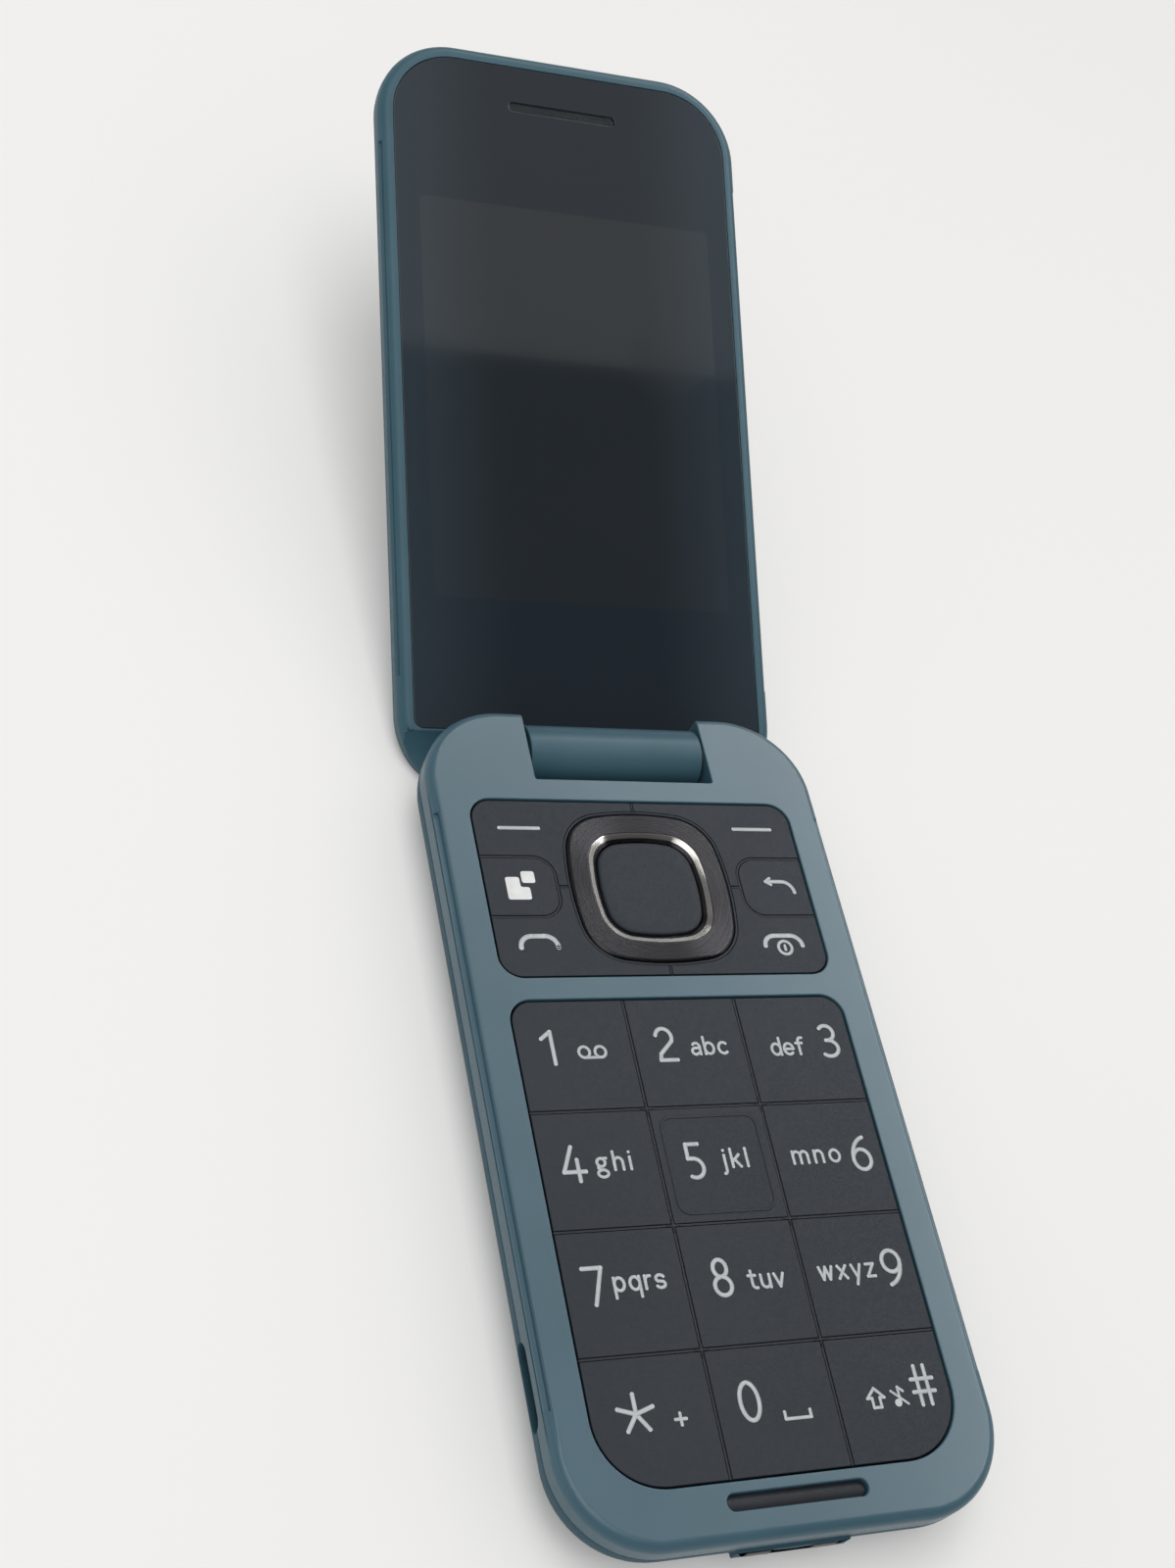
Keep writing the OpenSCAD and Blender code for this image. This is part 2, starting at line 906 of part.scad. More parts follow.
// Outline of the navigation panel, inset by a gap
module nav_outline(inset) {
  panel(panel_w - 2 * inset, nav_y0 + inset, nav_y1 - inset, panel_r - inset, panel_r - inset);
}

// Number key in column c (-1 to 1) and row r (0 to 3 from the top)
module number_key(c, r) {
  color(key_c)
    between(cap_low, cap_top)
      intersection() {
        keypad_outline(edge_gap);
        translate([c * col_w, keypad_y1 - (r + 0.5) * row_l])
          square([col_w - key_gap, row_l - key_gap], center = true);
      }
}

module key_5() {
  number_key(0, 1);
  color(key_c)
    translate([0, keypad_y1 - 1.5 * row_l, 0])
      between(cap_top - frame_h, cap_top + frame_h)
        difference() {
          rounded(col_w - 2 * frame_in, row_l - 2 * frame_in, frame_r);
          rounded(col_w - 2 * (frame_in + frame_w), row_l - 2 * (frame_in + frame_w), frame_r - frame_w);
        }
}

// Side key of the navigation panel, grown by a gap; s is -1 left, 1 right
module flank(s, grow) {
  translate([s * (panel_w / 2 - flank_l / 2 + flank_over), nav_c])
    rounded(flank_l + 2 * (flank_over + grow), flank_h + 2 * grow, flank_r + grow);
}

module flank_key(s) {
  color(key_c)
    between(cap_low, cap_top)
      intersection() {
        nav_outline(edge_gap);
        flank(s, 0);
      }
}

// Corner key of the navigation panel; sx and sy name its quadrant
module corner_key(sx, sy) {
  color(key_c)
    between(cap_low, cap_top)
      difference() {
        intersection() {
          nav_outline(edge_gap);
          translate([sx * (far / 2 + key_gap / 2), nav_c + sy * (far / 2 + key_gap / 2)])
            square(far, center = true);
        }
        flank(sx, key_gap);
        translate([0, nav_c])
          squircle(ring_w + 2 * key_gap);
      }
}

module nav_gimbal() {
  color(dark_c)
    translate([0, nav_c, 0])
      between(cap_low - gimbal_drop, cap_low - gimbal_drop + gimbal_t)
        difference() {
          squircle(ring_w - 2 * gimbal_in);
          squircle(ring_in);
        }
}

module nav_ring() {
  color(metal_c)
    translate([0, nav_c, 0])
      difference() {
        between(ring_low, ring_top)
          squircle(ring_w);
        translate([0, 0, ring_low - ring_over])
          linear_extrude(ring_top - ring_low + 2 * ring_over, scale = ring_open / ring_shut)
            squircle(ring_shut);
      }
}

module select_key() {
  color(key_c)
    translate([0, nav_c, 0])
      between(cap_low - select_drop, cap_top - select_sink)
        squircle(select_w);
}

// Edge profile of the lid between the outer and the inner face
module lid_profile(inset) {
  translate([0, lid_out])
    difference() {
      square([corner_r - inset, lid_t]);
      translate([corner_r - lid_edge_r, lid_edge_r])
        corner_cut(lid_edge_r - inset, -1);
      translate([corner_r - lid_rim_r, lid_t - lid_rim_r])
        corner_cut(lid_rim_r, 0);
    }
}

// Slice of the lid's outer form from z0 to z1, or of the form inset by a wall
module lid_form(z0, z1, inset = 0) {
  translate([0, lid_c, 0]) {
    around(base_w, lid_l, corner_r)
      intersection() {
        lid_profile(inset);
        translate([0, z0])
          square([corner_r, z1 - z0]);
      }
    between(z0, z1)
      square([base_w - 2 * corner_r, lid_l - 2 * corner_r], center = true);
  }
}

// What the taper at the hinge end takes off, so that the open lid stays above the table
module taper_cut(inset) {
  rotate([-lid_tilt, 0, 0])
    translate([0, 0, -hinge_z])
      along_x(-base_w, base_w)
        difference() {
          translate([taper_end - far, taper_top - far])
            square(far);
          translate([taper_at, table_gap + taper_r])
            circle(taper_r - inset, $fn = 180);
        }
}

// Room for the ears beside the barrel
module ear_relief() {
  for (sx = [-1, 1])
    translate([sx * (barrel_l / 2 + base_w / 2), 0, 0])
      rotate([0, 90, 0])
        cylinder(r = relief_r, h = base_w, center = true);
}

module lid_inner_housing() {
  color(shell_c)
    in_lid()
      difference() {
        union() {
          difference() {
            lid_form(lid_split, lid_in);
            taper_cut(0);
            ear_relief();
          }
          along_x(-barrel_l / 2, barrel_l / 2) {
            circle(barrel_r);
            translate([-neck_w / 2, lid_in - neck_in])
              square([neck_w, neck_in - lid_in - neck_top]);
          }
        }
        along_x(-base_w, base_w)
          circle(bore_r);
        between(glass_low, lid_in + over)
          glass_outline(-fit);
        translate([0, display_at, 0])
          between(lid_split - over, lid_in)
            rounded(display_w + 2 * (panel_rim + panel_fit), display_l + 2 * (panel_end + panel_fit), bed_r);
        translate([0, ear_slot_y, 0])
          between(lid_split - over, lid_in)
            rounded(ear_slot_l - 2 * duct_end, ear_slot_h - 2 * duct_side, ear_slot_h / 2 - duct_side - eps);
        between(lid_split - over, bed_low)
          panel(inner_w - 2 * room_in, cover_in + 2 * room_in, lid_y1 - wall - room_in, room_r,
            corner_r - wall - room_in);
        for (sx = [-1, 1])
          translate([sx * (base_w / 2 - lid_grip_in), hinge_y, lid_in - lid_grip_deep])
            translate([sx * step_cut / 2, 0, step_cut / 2])
              cube([step_cut, grip_l, step_cut], center = true);
      }
}

module lid_outer_cover() {
  color(shell_c)
    in_lid()
      difference() {
        lid_form(lid_out, lid_split - seam);
        taper_cut(0);
        ear_relief();
        along_x(-barrel_l / 2 - over, barrel_l / 2 + over)
          circle(barrel_r + fit);
        difference() {
          intersection() {
            lid_form(lid_out + lid_wall, lid_split, lid_wall);
            translate([-far / 2, cover_in, -far / 2])
              cube(far);
          }
          taper_cut(lid_wall);
        }
        translate([0, outer_c, 0]) {
          between(lid_out - over, lid_out + window_t + outer_sink)
            rounded(outer_w + 2 * fit, outer_l + 2 * fit, outer_r);
          between(lid_out - over, lid_split)
            rounded(outer_w - 2 * outer_ledge, outer_l - 2 * outer_ledge, outer_r - outer_ledge);
        }
      }
}

// Outline of the display window, inset by a gap
module glass_outline(inset) {
  panel(glass_w - 2 * inset, glass_y0 + inset, glass_y1 - inset, glass_r0 - inset, glass_r1 - inset);
}

module display_window() {
  color(dark_c)
    in_lid()
      difference() {
        between(glass_low, lid_in - glass_sink)
          glass_outline(0);
        translate([0, ear_slot_y, 0])
          between(lid_out, 0)
            rounded(ear_slot_l, ear_slot_h, ear_slot_h / 2 - eps);
      }
}

module display_panel() {
  color(dark_c)
    in_lid()
      translate([0, display_at, 0])
        between(glass_low - fit - panel_t, glass_low - fit)
          rounded(display_w + 2 * panel_rim, display_l + 2 * panel_end, screen_r);
}

module earpiece_grille() {
  color(metal_c)
    in_lid()
      translate([0, ear_slot_y, 0])
        between(glass_low, lid_in - glass_sink - gauze_sink)
          rounded(ear_slot_l - 2 * fit, ear_slot_h - 2 * fit, ear_slot_h / 2 - fit - eps);
}

module earpiece() {
  color(dark_c)
    in_lid()
      translate([0, ear_slot_y - ear_off, 0])
        between(bed_low - rest_gap - ear_size[2], bed_low - rest_gap)
          rounded(ear_size[0], ear_size[1], ear_round);
}

module lid_magnet() {
  color(metal_c)
    in_lid()
      translate([magnet_x, ear_slot_y - magnet_off, bed_low - rest_gap - magnet_size[2] / 2])
        cube(magnet_size, center = true);
}

module lid_board() {
  color(board_c)
    in_lid()
      difference() {
        translate([0, outer_c, 0])
          between(bed_low - lid_board_gap - lid_board_t, bed_low - lid_board_gap)
            rounded(outer_w - 2 * lid_board_in, outer_l + 2 * lid_board_over, lid_board_r);
        translate([0, camera_y, lid_out])
          cylinder(r = camera_r - module_in + module_gap, h = far);
      }
}

module outer_display() {
  color(dark_c)
    in_lid()
      translate([0, outer_display_y, lid_out + outer_sink + window_t])
        between(rest_gap, rest_gap + outer_display_t)
          rounded(outer_display_w, outer_display_l, screen_r);
}

module outer_window() {
  color(dark_c)
    in_lid()
      difference() {
        translate([0, outer_c, 0])
          between(lid_out + outer_sink, lid_out + outer_sink + window_t)
            rounded(outer_w, outer_l, outer_r - fit);
        translate([0, camera_y, lid_out - over])
          cylinder(r = camera_r + fit, h = step_cut);
        translate([flash_x, camera_y, lid_out - over])
          cylinder(r = flash_r + fit, h = step_cut);
      }
}

module camera_bezel() {
  color(metal_c)
    in_lid()
      translate([0, camera_y, lid_out - bezel_out])
        difference() {
          cylinder(r = camera_r, h = bezel_out + outer_sink + window_t);
          translate([0, 0, -over])
            cylinder(r = lens_r + fit, h = far);
        }
}

module camera_lens() {
  color(dark_c)
    in_lid()
      translate([0, camera_y, lid_out + outer_sink])
        rotate_extrude()
          intersection() {
            square([lens_r, window_t]);
            translate([0, lens_bow])
              circle(lens_bow, $fn = 360);
          }
}

module camera_module() {
  color(dark_c)
    in_lid()
      translate([0, camera_y, lid_out + outer_sink + window_t + fit])
        cylinder(r = camera_r - module_in, h = module_h);
}

module flash_lens() {
  color([0.9, 0.9, 0.85])
    in_lid()
      translate([flash_x, camera_y, lid_out + outer_sink])
        cylinder(r = flash_r, h = window_t + flash_deep);
}

module hinge_unit() {
  color(metal_c)
    in_lid()
      translate([-barrel_l / 2, 0, 0])
        rotate([0, 90, 0])
          difference() {
            cylinder(r = bore_r - unit_gap, h = barrel_l / 2 + unit_end);
            translate([0, 0, -over])
              cylinder(r = shaft_r + run_gap, h = shaft_grip + unit_room + over);
          }
}

module hinge_flex() {
  color(dark_c)
    in_lid()
      translate([unit_end + flex_gap, 0, 0])
        rotate([0, 90, 0])
          difference() {
            cylinder(r = flex_r, h = shaft_end - unit_end - flex_end);
            translate([0, 0, -over])
              cylinder(r = flex_r - flex_t, h = far);
            translate([0, -flex_slit / 2, -over])
              cube([flex_r + over, flex_slit, far]);
          }
}

base_front_housing();
base_rear_housing();
battery_cover();
battery();
main_board();
key_mat();
dome_switches();
mic_grille();
microphone();
loudspeaker();
vibration_motor();
usb_socket();
card_holder();
cradle_contacts();
base_screws();
hinge_shaft();
hinge_bush();
volume_rocker();
side_button();
number_key(-1, 0);  // key_1
number_key(0, 0);  // key_2
number_key(1, 0);  // key_3
number_key(-1, 1);  // key_4
key_5();
number_key(1, 1);  // key_6
number_key(-1, 2);  // key_7
number_key(0, 2);  // key_8
number_key(1, 2);  // key_9
number_key(-1, 3);  // key_star
number_key(0, 3);  // key_0
number_key(1, 3);  // key_hash
corner_key(-1, 1);  // soft_key_left
corner_key(1, 1);  // soft_key_right
flank_key(-1);  // shortcut_key
flank_key(1);  // back_key
corner_key(-1, -1);  // call_key
corner_key(1, -1);  // end_key
nav_gimbal();
nav_ring();
select_key();
lid_inner_housing();
lid_outer_cover();
display_window();
display_panel();
outer_window();
outer_display();
lid_board();
camera_module();
camera_bezel();
camera_lens();
flash_lens();
earpiece();
earpiece_grille();
lid_magnet();
hinge_unit();
hinge_flex();
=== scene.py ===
"""Looks of an open flip phone: eased housings, printed keys, spun ring, black glass, studio light.

Lengths are written in millimetres and turned into metres by MM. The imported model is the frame:
pieces copy its nodes, stand in their places or sit on them, and ride on its bodies.
"""

import json
import logging
import math
from collections.abc import Iterable, Mapping, Sequence
from dataclasses import dataclass, field
from enum import Enum

import bmesh
import bpy
from mathutils import Euler, Matrix, Vector

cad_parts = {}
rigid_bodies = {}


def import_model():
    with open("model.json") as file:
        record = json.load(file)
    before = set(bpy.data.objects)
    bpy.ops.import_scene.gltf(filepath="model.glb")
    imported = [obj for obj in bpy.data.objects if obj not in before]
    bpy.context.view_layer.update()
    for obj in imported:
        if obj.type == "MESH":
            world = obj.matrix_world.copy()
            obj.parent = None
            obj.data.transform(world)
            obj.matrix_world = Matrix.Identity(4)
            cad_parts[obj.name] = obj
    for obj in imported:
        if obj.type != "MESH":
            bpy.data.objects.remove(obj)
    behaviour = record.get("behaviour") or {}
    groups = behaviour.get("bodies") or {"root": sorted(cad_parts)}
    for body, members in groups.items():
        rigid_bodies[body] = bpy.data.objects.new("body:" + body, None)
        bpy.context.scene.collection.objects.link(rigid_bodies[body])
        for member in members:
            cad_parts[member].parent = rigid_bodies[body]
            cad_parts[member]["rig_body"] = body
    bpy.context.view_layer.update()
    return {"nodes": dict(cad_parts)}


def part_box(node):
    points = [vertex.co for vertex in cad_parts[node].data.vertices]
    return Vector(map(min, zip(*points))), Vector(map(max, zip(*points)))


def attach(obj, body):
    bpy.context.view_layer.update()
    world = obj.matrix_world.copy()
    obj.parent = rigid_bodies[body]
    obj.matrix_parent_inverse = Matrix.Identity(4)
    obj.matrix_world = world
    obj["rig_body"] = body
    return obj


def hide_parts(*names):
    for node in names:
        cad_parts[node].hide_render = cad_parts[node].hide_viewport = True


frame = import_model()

Tone = tuple[int, int, int]
Flat = tuple[float, float]
Place = tuple[float, float, float]
Stroke = list[tuple[float, ...]]
Sign = tuple[Stroke, float]

LOG = logging.getLogger("flip_phone")
MM = 0.001
NOISE_BAND: Flat = (0.3, 0.7)
SPECK_REACH = 0.12
RADIAL_TURN = 0.25
SMOOTH_TO = 35.0
NAV_Y = 27.2
CAMERA_SPOT: Flat = (0.0, 38.0)
FLASH_SPOT: Flat = (9.5, 38.0)
DISPLAY_SPOT: Flat = (0.0, 51.2)
OUTER_SPOT: Flat = (0.0, 73.5)


class Slot(Enum):
    """Material slots of the record, listed with the eased pieces though nothing here assigns them."""

    SHELL = "shell"
    KEY_CAP = "key_cap"
    RING_METAL = "ring_metal"
    WINDOW = "window"
    LENS = "lens"
    DIFFUSER = "diffuser"
    GRILLE = "grille"
    CONTACT = "contact"
    STEEL = "steel"
    RUBBER = "rubber"


class Effect(Enum):
    """Shader effects that several finishes share."""

    GRAIN = "moulded grain"
    SPECKS = "dust specks"
    PANEL = "rounded panel mask"
    TURNED = "turned lines"
    RIDGES = "round ridges"


def linear(tone: Tone) -> tuple[float, float, float, float]:
    """Turn a display colour of 0 to 255 into the linear colour that shaders take.

    Args:
        tone: Red, green and blue as they look on screen.

    Returns:
        Linear red, green, blue and a full alpha.
    """
    def channel(level: float) -> float:
        """Undo the display curve of one channel."""
        share = level / 255
        return share / 12.92 if share <= 0.04045 else ((share + 0.055) / 1.055) ** 2.4

    return (channel(tone[0]), channel(tone[1]), channel(tone[2]), 1.0)


class Graph:
    """A node tree with short calls that add, fill and join nodes."""

    # sockets of a mix node for colours: the factor and both colours, then the result
    MIX_INPUTS = (0, 6, 7)
    MIX_RESULT = 2

    def __init__(self, tree: bpy.types.NodeTree) -> None:
        """Hold the tree that the calls fill."""
        self.tree = tree

    def fill(self, socket: bpy.types.NodeSocket, value: object) -> None:
        """Link a socket or a node to an input, or set the input's own value.

        Args:
            socket: The input.
            value: A node, whose first output is taken, a socket, or a plain value.
        """
        if isinstance(value, bpy.types.Node):
            value = value.outputs[0]
        if isinstance(value, bpy.types.NodeSocket):
            self.tree.links.new(value, socket)
        else:
            socket.default_value = value

    def add(self, kind: str, inputs: Mapping[str | int, object] | None = None,
            **settings: object) -> bpy.types.Node:
        """Add a node.

        Args:
            kind: The node's type name.
            inputs: Values or sockets by input name or number.
            **settings: The node's own options.

        Returns:
            The new node.
        """
        node = self.tree.nodes.new(kind)
        for name, value in settings.items():
            setattr(node, name, value)
        for key, value in (inputs or {}).items():
            self.fill(node.inputs[key], value)
        return node

    def math(self, operation: str, *values: object) -> bpy.types.NodeSocket:
        """Add a math node for the values in order and return its result."""
        return self.add("ShaderNodeMath", dict(enumerate(values)), operation=operation).outputs[0]

    def mix(self, factor: object, first: object, second: object) -> bpy.types.NodeSocket:
        """Mix two colours.

        Args:
            factor: Share of the second colour.
            first: Tone or socket at 0.
            second: Tone or socket at 1.

        Returns:
            The mixed colour's socket.
        """
        node = self.add("ShaderNodeMix", data_type="RGBA")
        for index, value in zip(self.MIX_INPUTS, (factor, first, second)):
            self.fill(node.inputs[index], linear(value) if isinstance(value, tuple) else value)
        return node.outputs[self.MIX_RESULT]

    def remap(self, value: object, low: float, high: float, to_low: object = 0.0,
              to_high: object = 1.0) -> bpy.types.NodeSocket:
        """Map a range smoothly onto another one.

        Args:
            value: What is mapped.
            low: Value that becomes to_low.
            high: Value that becomes to_high.
            to_low: Result at low.
            to_high: Result at high.

        Returns:
            The mapped value's socket.
        """
        inputs = {"Value": value, "From Min": low, "From Max": high, "To Min": to_low, "To Max": to_high}
        return self.add("ShaderNodeMapRange", inputs, interpolation_type="SMOOTHSTEP").outputs[0]

    def radius(self, vector: object) -> bpy.types.NodeSocket:
        """Return the distance from the Z axis of the coordinates."""
        flat = self.add("ShaderNodeVectorMath", {0: vector, 1: (1.0, 1.0, 0.0)}, operation="MULTIPLY")
        return self.add("ShaderNodeVectorMath", {0: flat}, operation="LENGTH").outputs["Value"]

    def seen(self) -> bpy.types.NodeSocket:
        """Mask the rays that show the background: camera, glossy and transmission rays.

        Returns:
            The mask's socket.
        """
        path = self.add("ShaderNodeLightPath").outputs
        shown = self.math("ADD", path["Is Camera Ray"], path["Is Glossy Ray"])
        return self.math("MINIMUM", self.math("ADD", shown, path["Is Transmission Ray"]), 1.0)

    def effect(self, effect: Effect, vector: object, **numbers: object) -> bpy.types.NodeOutputs:
        """Place a shared effect.

        Args:
            effect: Which effect.
            vector: Its coordinates.
            **numbers: Its other inputs by name, with _ for a space.

        Returns:
            The group node's outputs.
        """
        node = self.add("ShaderNodeGroup", node_tree=effect_tree(effect))
        self.fill(node.inputs["Vector"], vector)
        for name, value in numbers.items():
            self.fill(node.inputs[name.replace("_", " ")], value)
        return node.outputs


class Group(Graph):
    """A node group with named sockets, whose source holds the inputs."""

    def __init__(self, name: str, kind: str, inputs: Mapping[str, str], outputs: Mapping[str, str]) -> None:
        """Make the group.

        Args:
            name: The group's name.
            kind: Type of tree.
            inputs: Socket type by input name.
            outputs: Socket type by output name.
        """
        super().__init__(bpy.data.node_groups.new(name, kind))
        for side, sockets in (("INPUT", inputs), ("OUTPUT", outputs)):
            for label, socket_type in sockets.items():
                self.tree.interface.new_socket(name=label, in_out=side, socket_type=socket_type)
        self.source = self.add("NodeGroupInput").outputs


def start_effect(effect: Effect, numbers: Sequence[str], results: Sequence[str]) -> Group:
    """Start the group of a shared effect, which takes a vector and numbers and puts out numbers.

    Args:
        effect: Which effect.
        numbers: Names of the inputs after the vector.
        results: Names of the outputs.

    Returns:
        The group.
    """
    inputs = {"Vector": "NodeSocketVector", **dict.fromkeys(numbers, "NodeSocketFloat")}
    return Group(effect.value, "ShaderNodeTree", inputs, dict.fromkeys(results, "NodeSocketFloat"))


def grain_tree() -> None:
    """Fine moulded grain, with broad soft blotches."""
    group = start_effect(Effect.GRAIN, ("Grain Scale", "Blotch Scale"), ("Grain", "Blotch"))
    results = {}
    for name, detail in (("Grain", 3.0), ("Blotch", 2.0)):
        noise = group.add("ShaderNodeTexNoise", {
            "Vector": group.source["Vector"], "Scale": group.source[f"{name} Scale"], "Detail": detail})
        results[name] = group.remap(noise, *NOISE_BAND)
    group.add("NodeGroupOutput", results)


def specks_tree() -> None:
    """Sparse specks of dust, one at most in each cell."""
    group = start_effect(Effect.SPECKS, ("Scale", "Share"), ("Mask",))
    cells = group.add("ShaderNodeTexVoronoi", {
        "Vector": group.source["Vector"], "Scale": group.source["Scale"]})
    chosen = group.add("ShaderNodeSeparateColor", {0: cells.outputs["Color"]})
    picked = group.math("LESS_THAN", chosen.outputs[0], group.source["Share"])
    size = group.math("MULTIPLY", chosen.outputs[1], SPECK_REACH)
    inside = group.math("LESS_THAN", cells.outputs["Distance"], size)
    group.add("NodeGroupOutput", {"Mask": group.math("MULTIPLY", picked, inside)})


def panel_tree() -> None:
    """Mask of a rounded rectangle about the origin of the flat coordinates."""
    group = start_effect(Effect.PANEL, ("Width", "Length", "Corner", "Blur"), ("Mask",))
    axes = group.add("ShaderNodeSeparateXYZ", {0: group.source["Vector"]})
    beyond = []
    for axis, side in ((0, "Width"), (1, "Length")):
        half = group.math("MULTIPLY", group.source[side], 0.5)
        start = group.math("SUBTRACT", half, group.source["Corner"])
        past = group.math("SUBTRACT", group.math("ABSOLUTE", axes.outputs[axis]), start)
        beyond.append(group.math("POWER", group.math("MAXIMUM", past, 0.0), 2.0))
    away = group.math("SQRT", group.math("ADD", *beyond))
    over = group.math("SUBTRACT", away, group.source["Corner"])
    share = group.math("DIVIDE", over, group.source["Blur"])
    group.add("NodeGroupOutput", {"Mask": group.remap(share, -1.0, 1.0, 1.0, 0.0)})


def turned_tree() -> None:
    """Fine lines around the Z axis of the coordinates, as a lathe leaves them."""
    group = start_effect(Effect.TURNED, ("Density",), ("Lines",))
    along = group.math("MULTIPLY", group.radius(group.source["Vector"]), group.source["Density"])
    lines = group.add(
        "ShaderNodeTexNoise", {"W": along, "Scale": 1.0, "Detail": 3.0}, noise_dimensions="1D")
    group.add("NodeGroupOutput", {"Lines": group.remap(lines, *NOISE_BAND)})


def ridges_tree() -> None:
    """Round ridges about the Z axis of the coordinates, and the share of the way out to a radius."""
    group = start_effect(Effect.RIDGES, ("Radius", "Pitch"), ("Share", "Ridges"))
    away = group.radius(group.source["Vector"])
    turns = group.math("DIVIDE", away, group.source["Pitch"])
    wave = group.math("SINE", group.math("MULTIPLY", turns, math.tau))
    group.add("NodeGroupOutput", {
        "Share": group.math("DIVIDE", away, group.source["Radius"]),
        "Ridges": group.remap(wave, -1.0, 1.0)})


def effect_tree(effect: Effect) -> bpy.types.NodeTree:
    """Return a shared effect's group, built at its first use.

    Args:
        effect: Which effect.

    Returns:
        The shader node group.
    """
    if effect.value not in bpy.data.node_groups:
        builders = {Effect.GRAIN: grain_tree, Effect.SPECKS: specks_tree, Effect.PANEL: panel_tree,
                    Effect.TURNED: turned_tree, Effect.RIDGES: ridges_tree}
        builders[effect]()
    return bpy.data.node_groups[effect.value]


class Surface(Graph):
    """A material's graph, with its Principled shader and object coordinates."""

    def __init__(self, material: bpy.types.Material) -> None:
        """Take hold of the material's nodes.

        Args:
            material: The material, whose nodes are switched on.
        """
        material.use_nodes = True
        super().__init__(material.node_tree)
        self.shader = self.tree.nodes["Principled BSDF"]
        self.coords = self.add("ShaderNodeTexCoord").outputs["Object"]

    def cover(self, inputs: Mapping[str, object]) -> None:
        """Fill the shader's inputs by name, with values or sockets."""
        for name, value in inputs.items():
            self.fill(self.shader.inputs[name], value)

    def bump(self, height: object, depth: float) -> None:
        """Raise the surface by a height of 0 to 1 times a depth in millimetres."""
        relief = {"Strength": 1.0, "Distance": depth * MM, "Height": height}
        self.cover({"Normal": self.add("ShaderNodeBump", relief)})

    def grain(self, fine: float, broad: float, coords: object = None) -> bpy.types.NodeOutputs:
        """Place the moulded grain.

        Args:
            fine: Scale of the grain.
            broad: Scale of the blotches.
            coords: Its coordinates, where they aren't the object's own.

        Returns:
            The outputs Grain and Blotch.
        """
        vector = self.coords if coords is None else coords
        return self.effect(Effect.GRAIN, vector, Grain_Scale=fine, Blotch_Scale=broad)

    def about(self, place: Sequence[float], tilt: float) -> bpy.types.NodeSocket:
        """Move the object coordinates.

        Args:
            place: Their new origin, in millimetres.
            tilt: Their turn about X, in degrees.

        Returns:
            The coordinates about the place, in metres.
        """
        return self.add("ShaderNodeMapping", {
            "Vector": self.coords, "Location": Vector(place) * MM,
            "Rotation": (math.radians(tilt), 0.0, 0.0)}, vector_type="TEXTURE").outputs[0]


@dataclass(frozen=True)
class LidFrame:
    """The lid's own frame: hinge axis at the origin, Y along the lid, Z out of the display side."""

    pivot: Place = (0.0, 49.4, 7.4)
    tilt: float = 23.0

    def matrix(self) -> Matrix:
        """Return the matrix that carries lid millimetres to the open place in metres."""
        place = Matrix.Translation(Vector(self.pivot) * MM)
        return place @ Matrix.Rotation(math.radians(self.tilt), 4, "X") @ Matrix.Scale(MM, 4)

    def spot(self, centre: Flat) -> Vector:
        """Return the place, in millimetres, of a point across and along the open lid."""
        turn = Matrix.Rotation(math.radians(self.tilt), 3, "X")
        return Vector(self.pivot) + turn @ Vector((centre[0], centre[1], 0.0))


LID_FRAME = LidFrame()


@dataclass(frozen=True)
class Finish:
    """What every finish shares: a name, and a material built once."""

    name: str

    def wire(self, surface: Surface) -> None:
        """Fill the shader's inputs.

        Args:
            surface: The material's nodes.
        """
        raise NotImplementedError

    def material(self) -> bpy.types.Material:
        """Build the finish's material at its first use.

        Returns:
            The material.
        """
        label = f"{self.name} finish"
        if label not in bpy.data.materials:
            self.wire(Surface(bpy.data.materials.new(label)))
        return bpy.data.materials[label]


@dataclass(frozen=True)
class Moulded(Finish):
    """Moulded plastic, rubber or film with a fine grain, soft blotches and a little dust."""

    tone: Tone
    shade: Tone
    roughness: Flat = (0.42, 0.54)
    grain_scale: float = 3800.0
    blotch_scale: float = 60.0
    depth: float = 0.002
    dust: float = 0.05
    dust_tone: Tone = (150, 156, 158)
    dust_scale: float = 260.0
    gloss: float = 0.5

    def wire(self, surface: Surface) -> None:
        """Mix the two tones by the blotches, then add dust and grain.

        Args:
            surface: The material's nodes.
        """
        grain = surface.grain(self.grain_scale, self.blotch_scale)
        specks = surface.effect(Effect.SPECKS, surface.coords, Scale=self.dust_scale, Share=self.dust)
        colour = surface.mix(grain["Blotch"], self.tone, self.shade)
        surface.cover({
            "Base Color": surface.mix(specks["Mask"], colour, self.dust_tone),
            "Roughness": surface.remap(grain["Grain"], 0.0, 1.0, *self.roughness),
            "Specular IOR Level": self.gloss})
        surface.bump(grain["Grain"], self.depth)


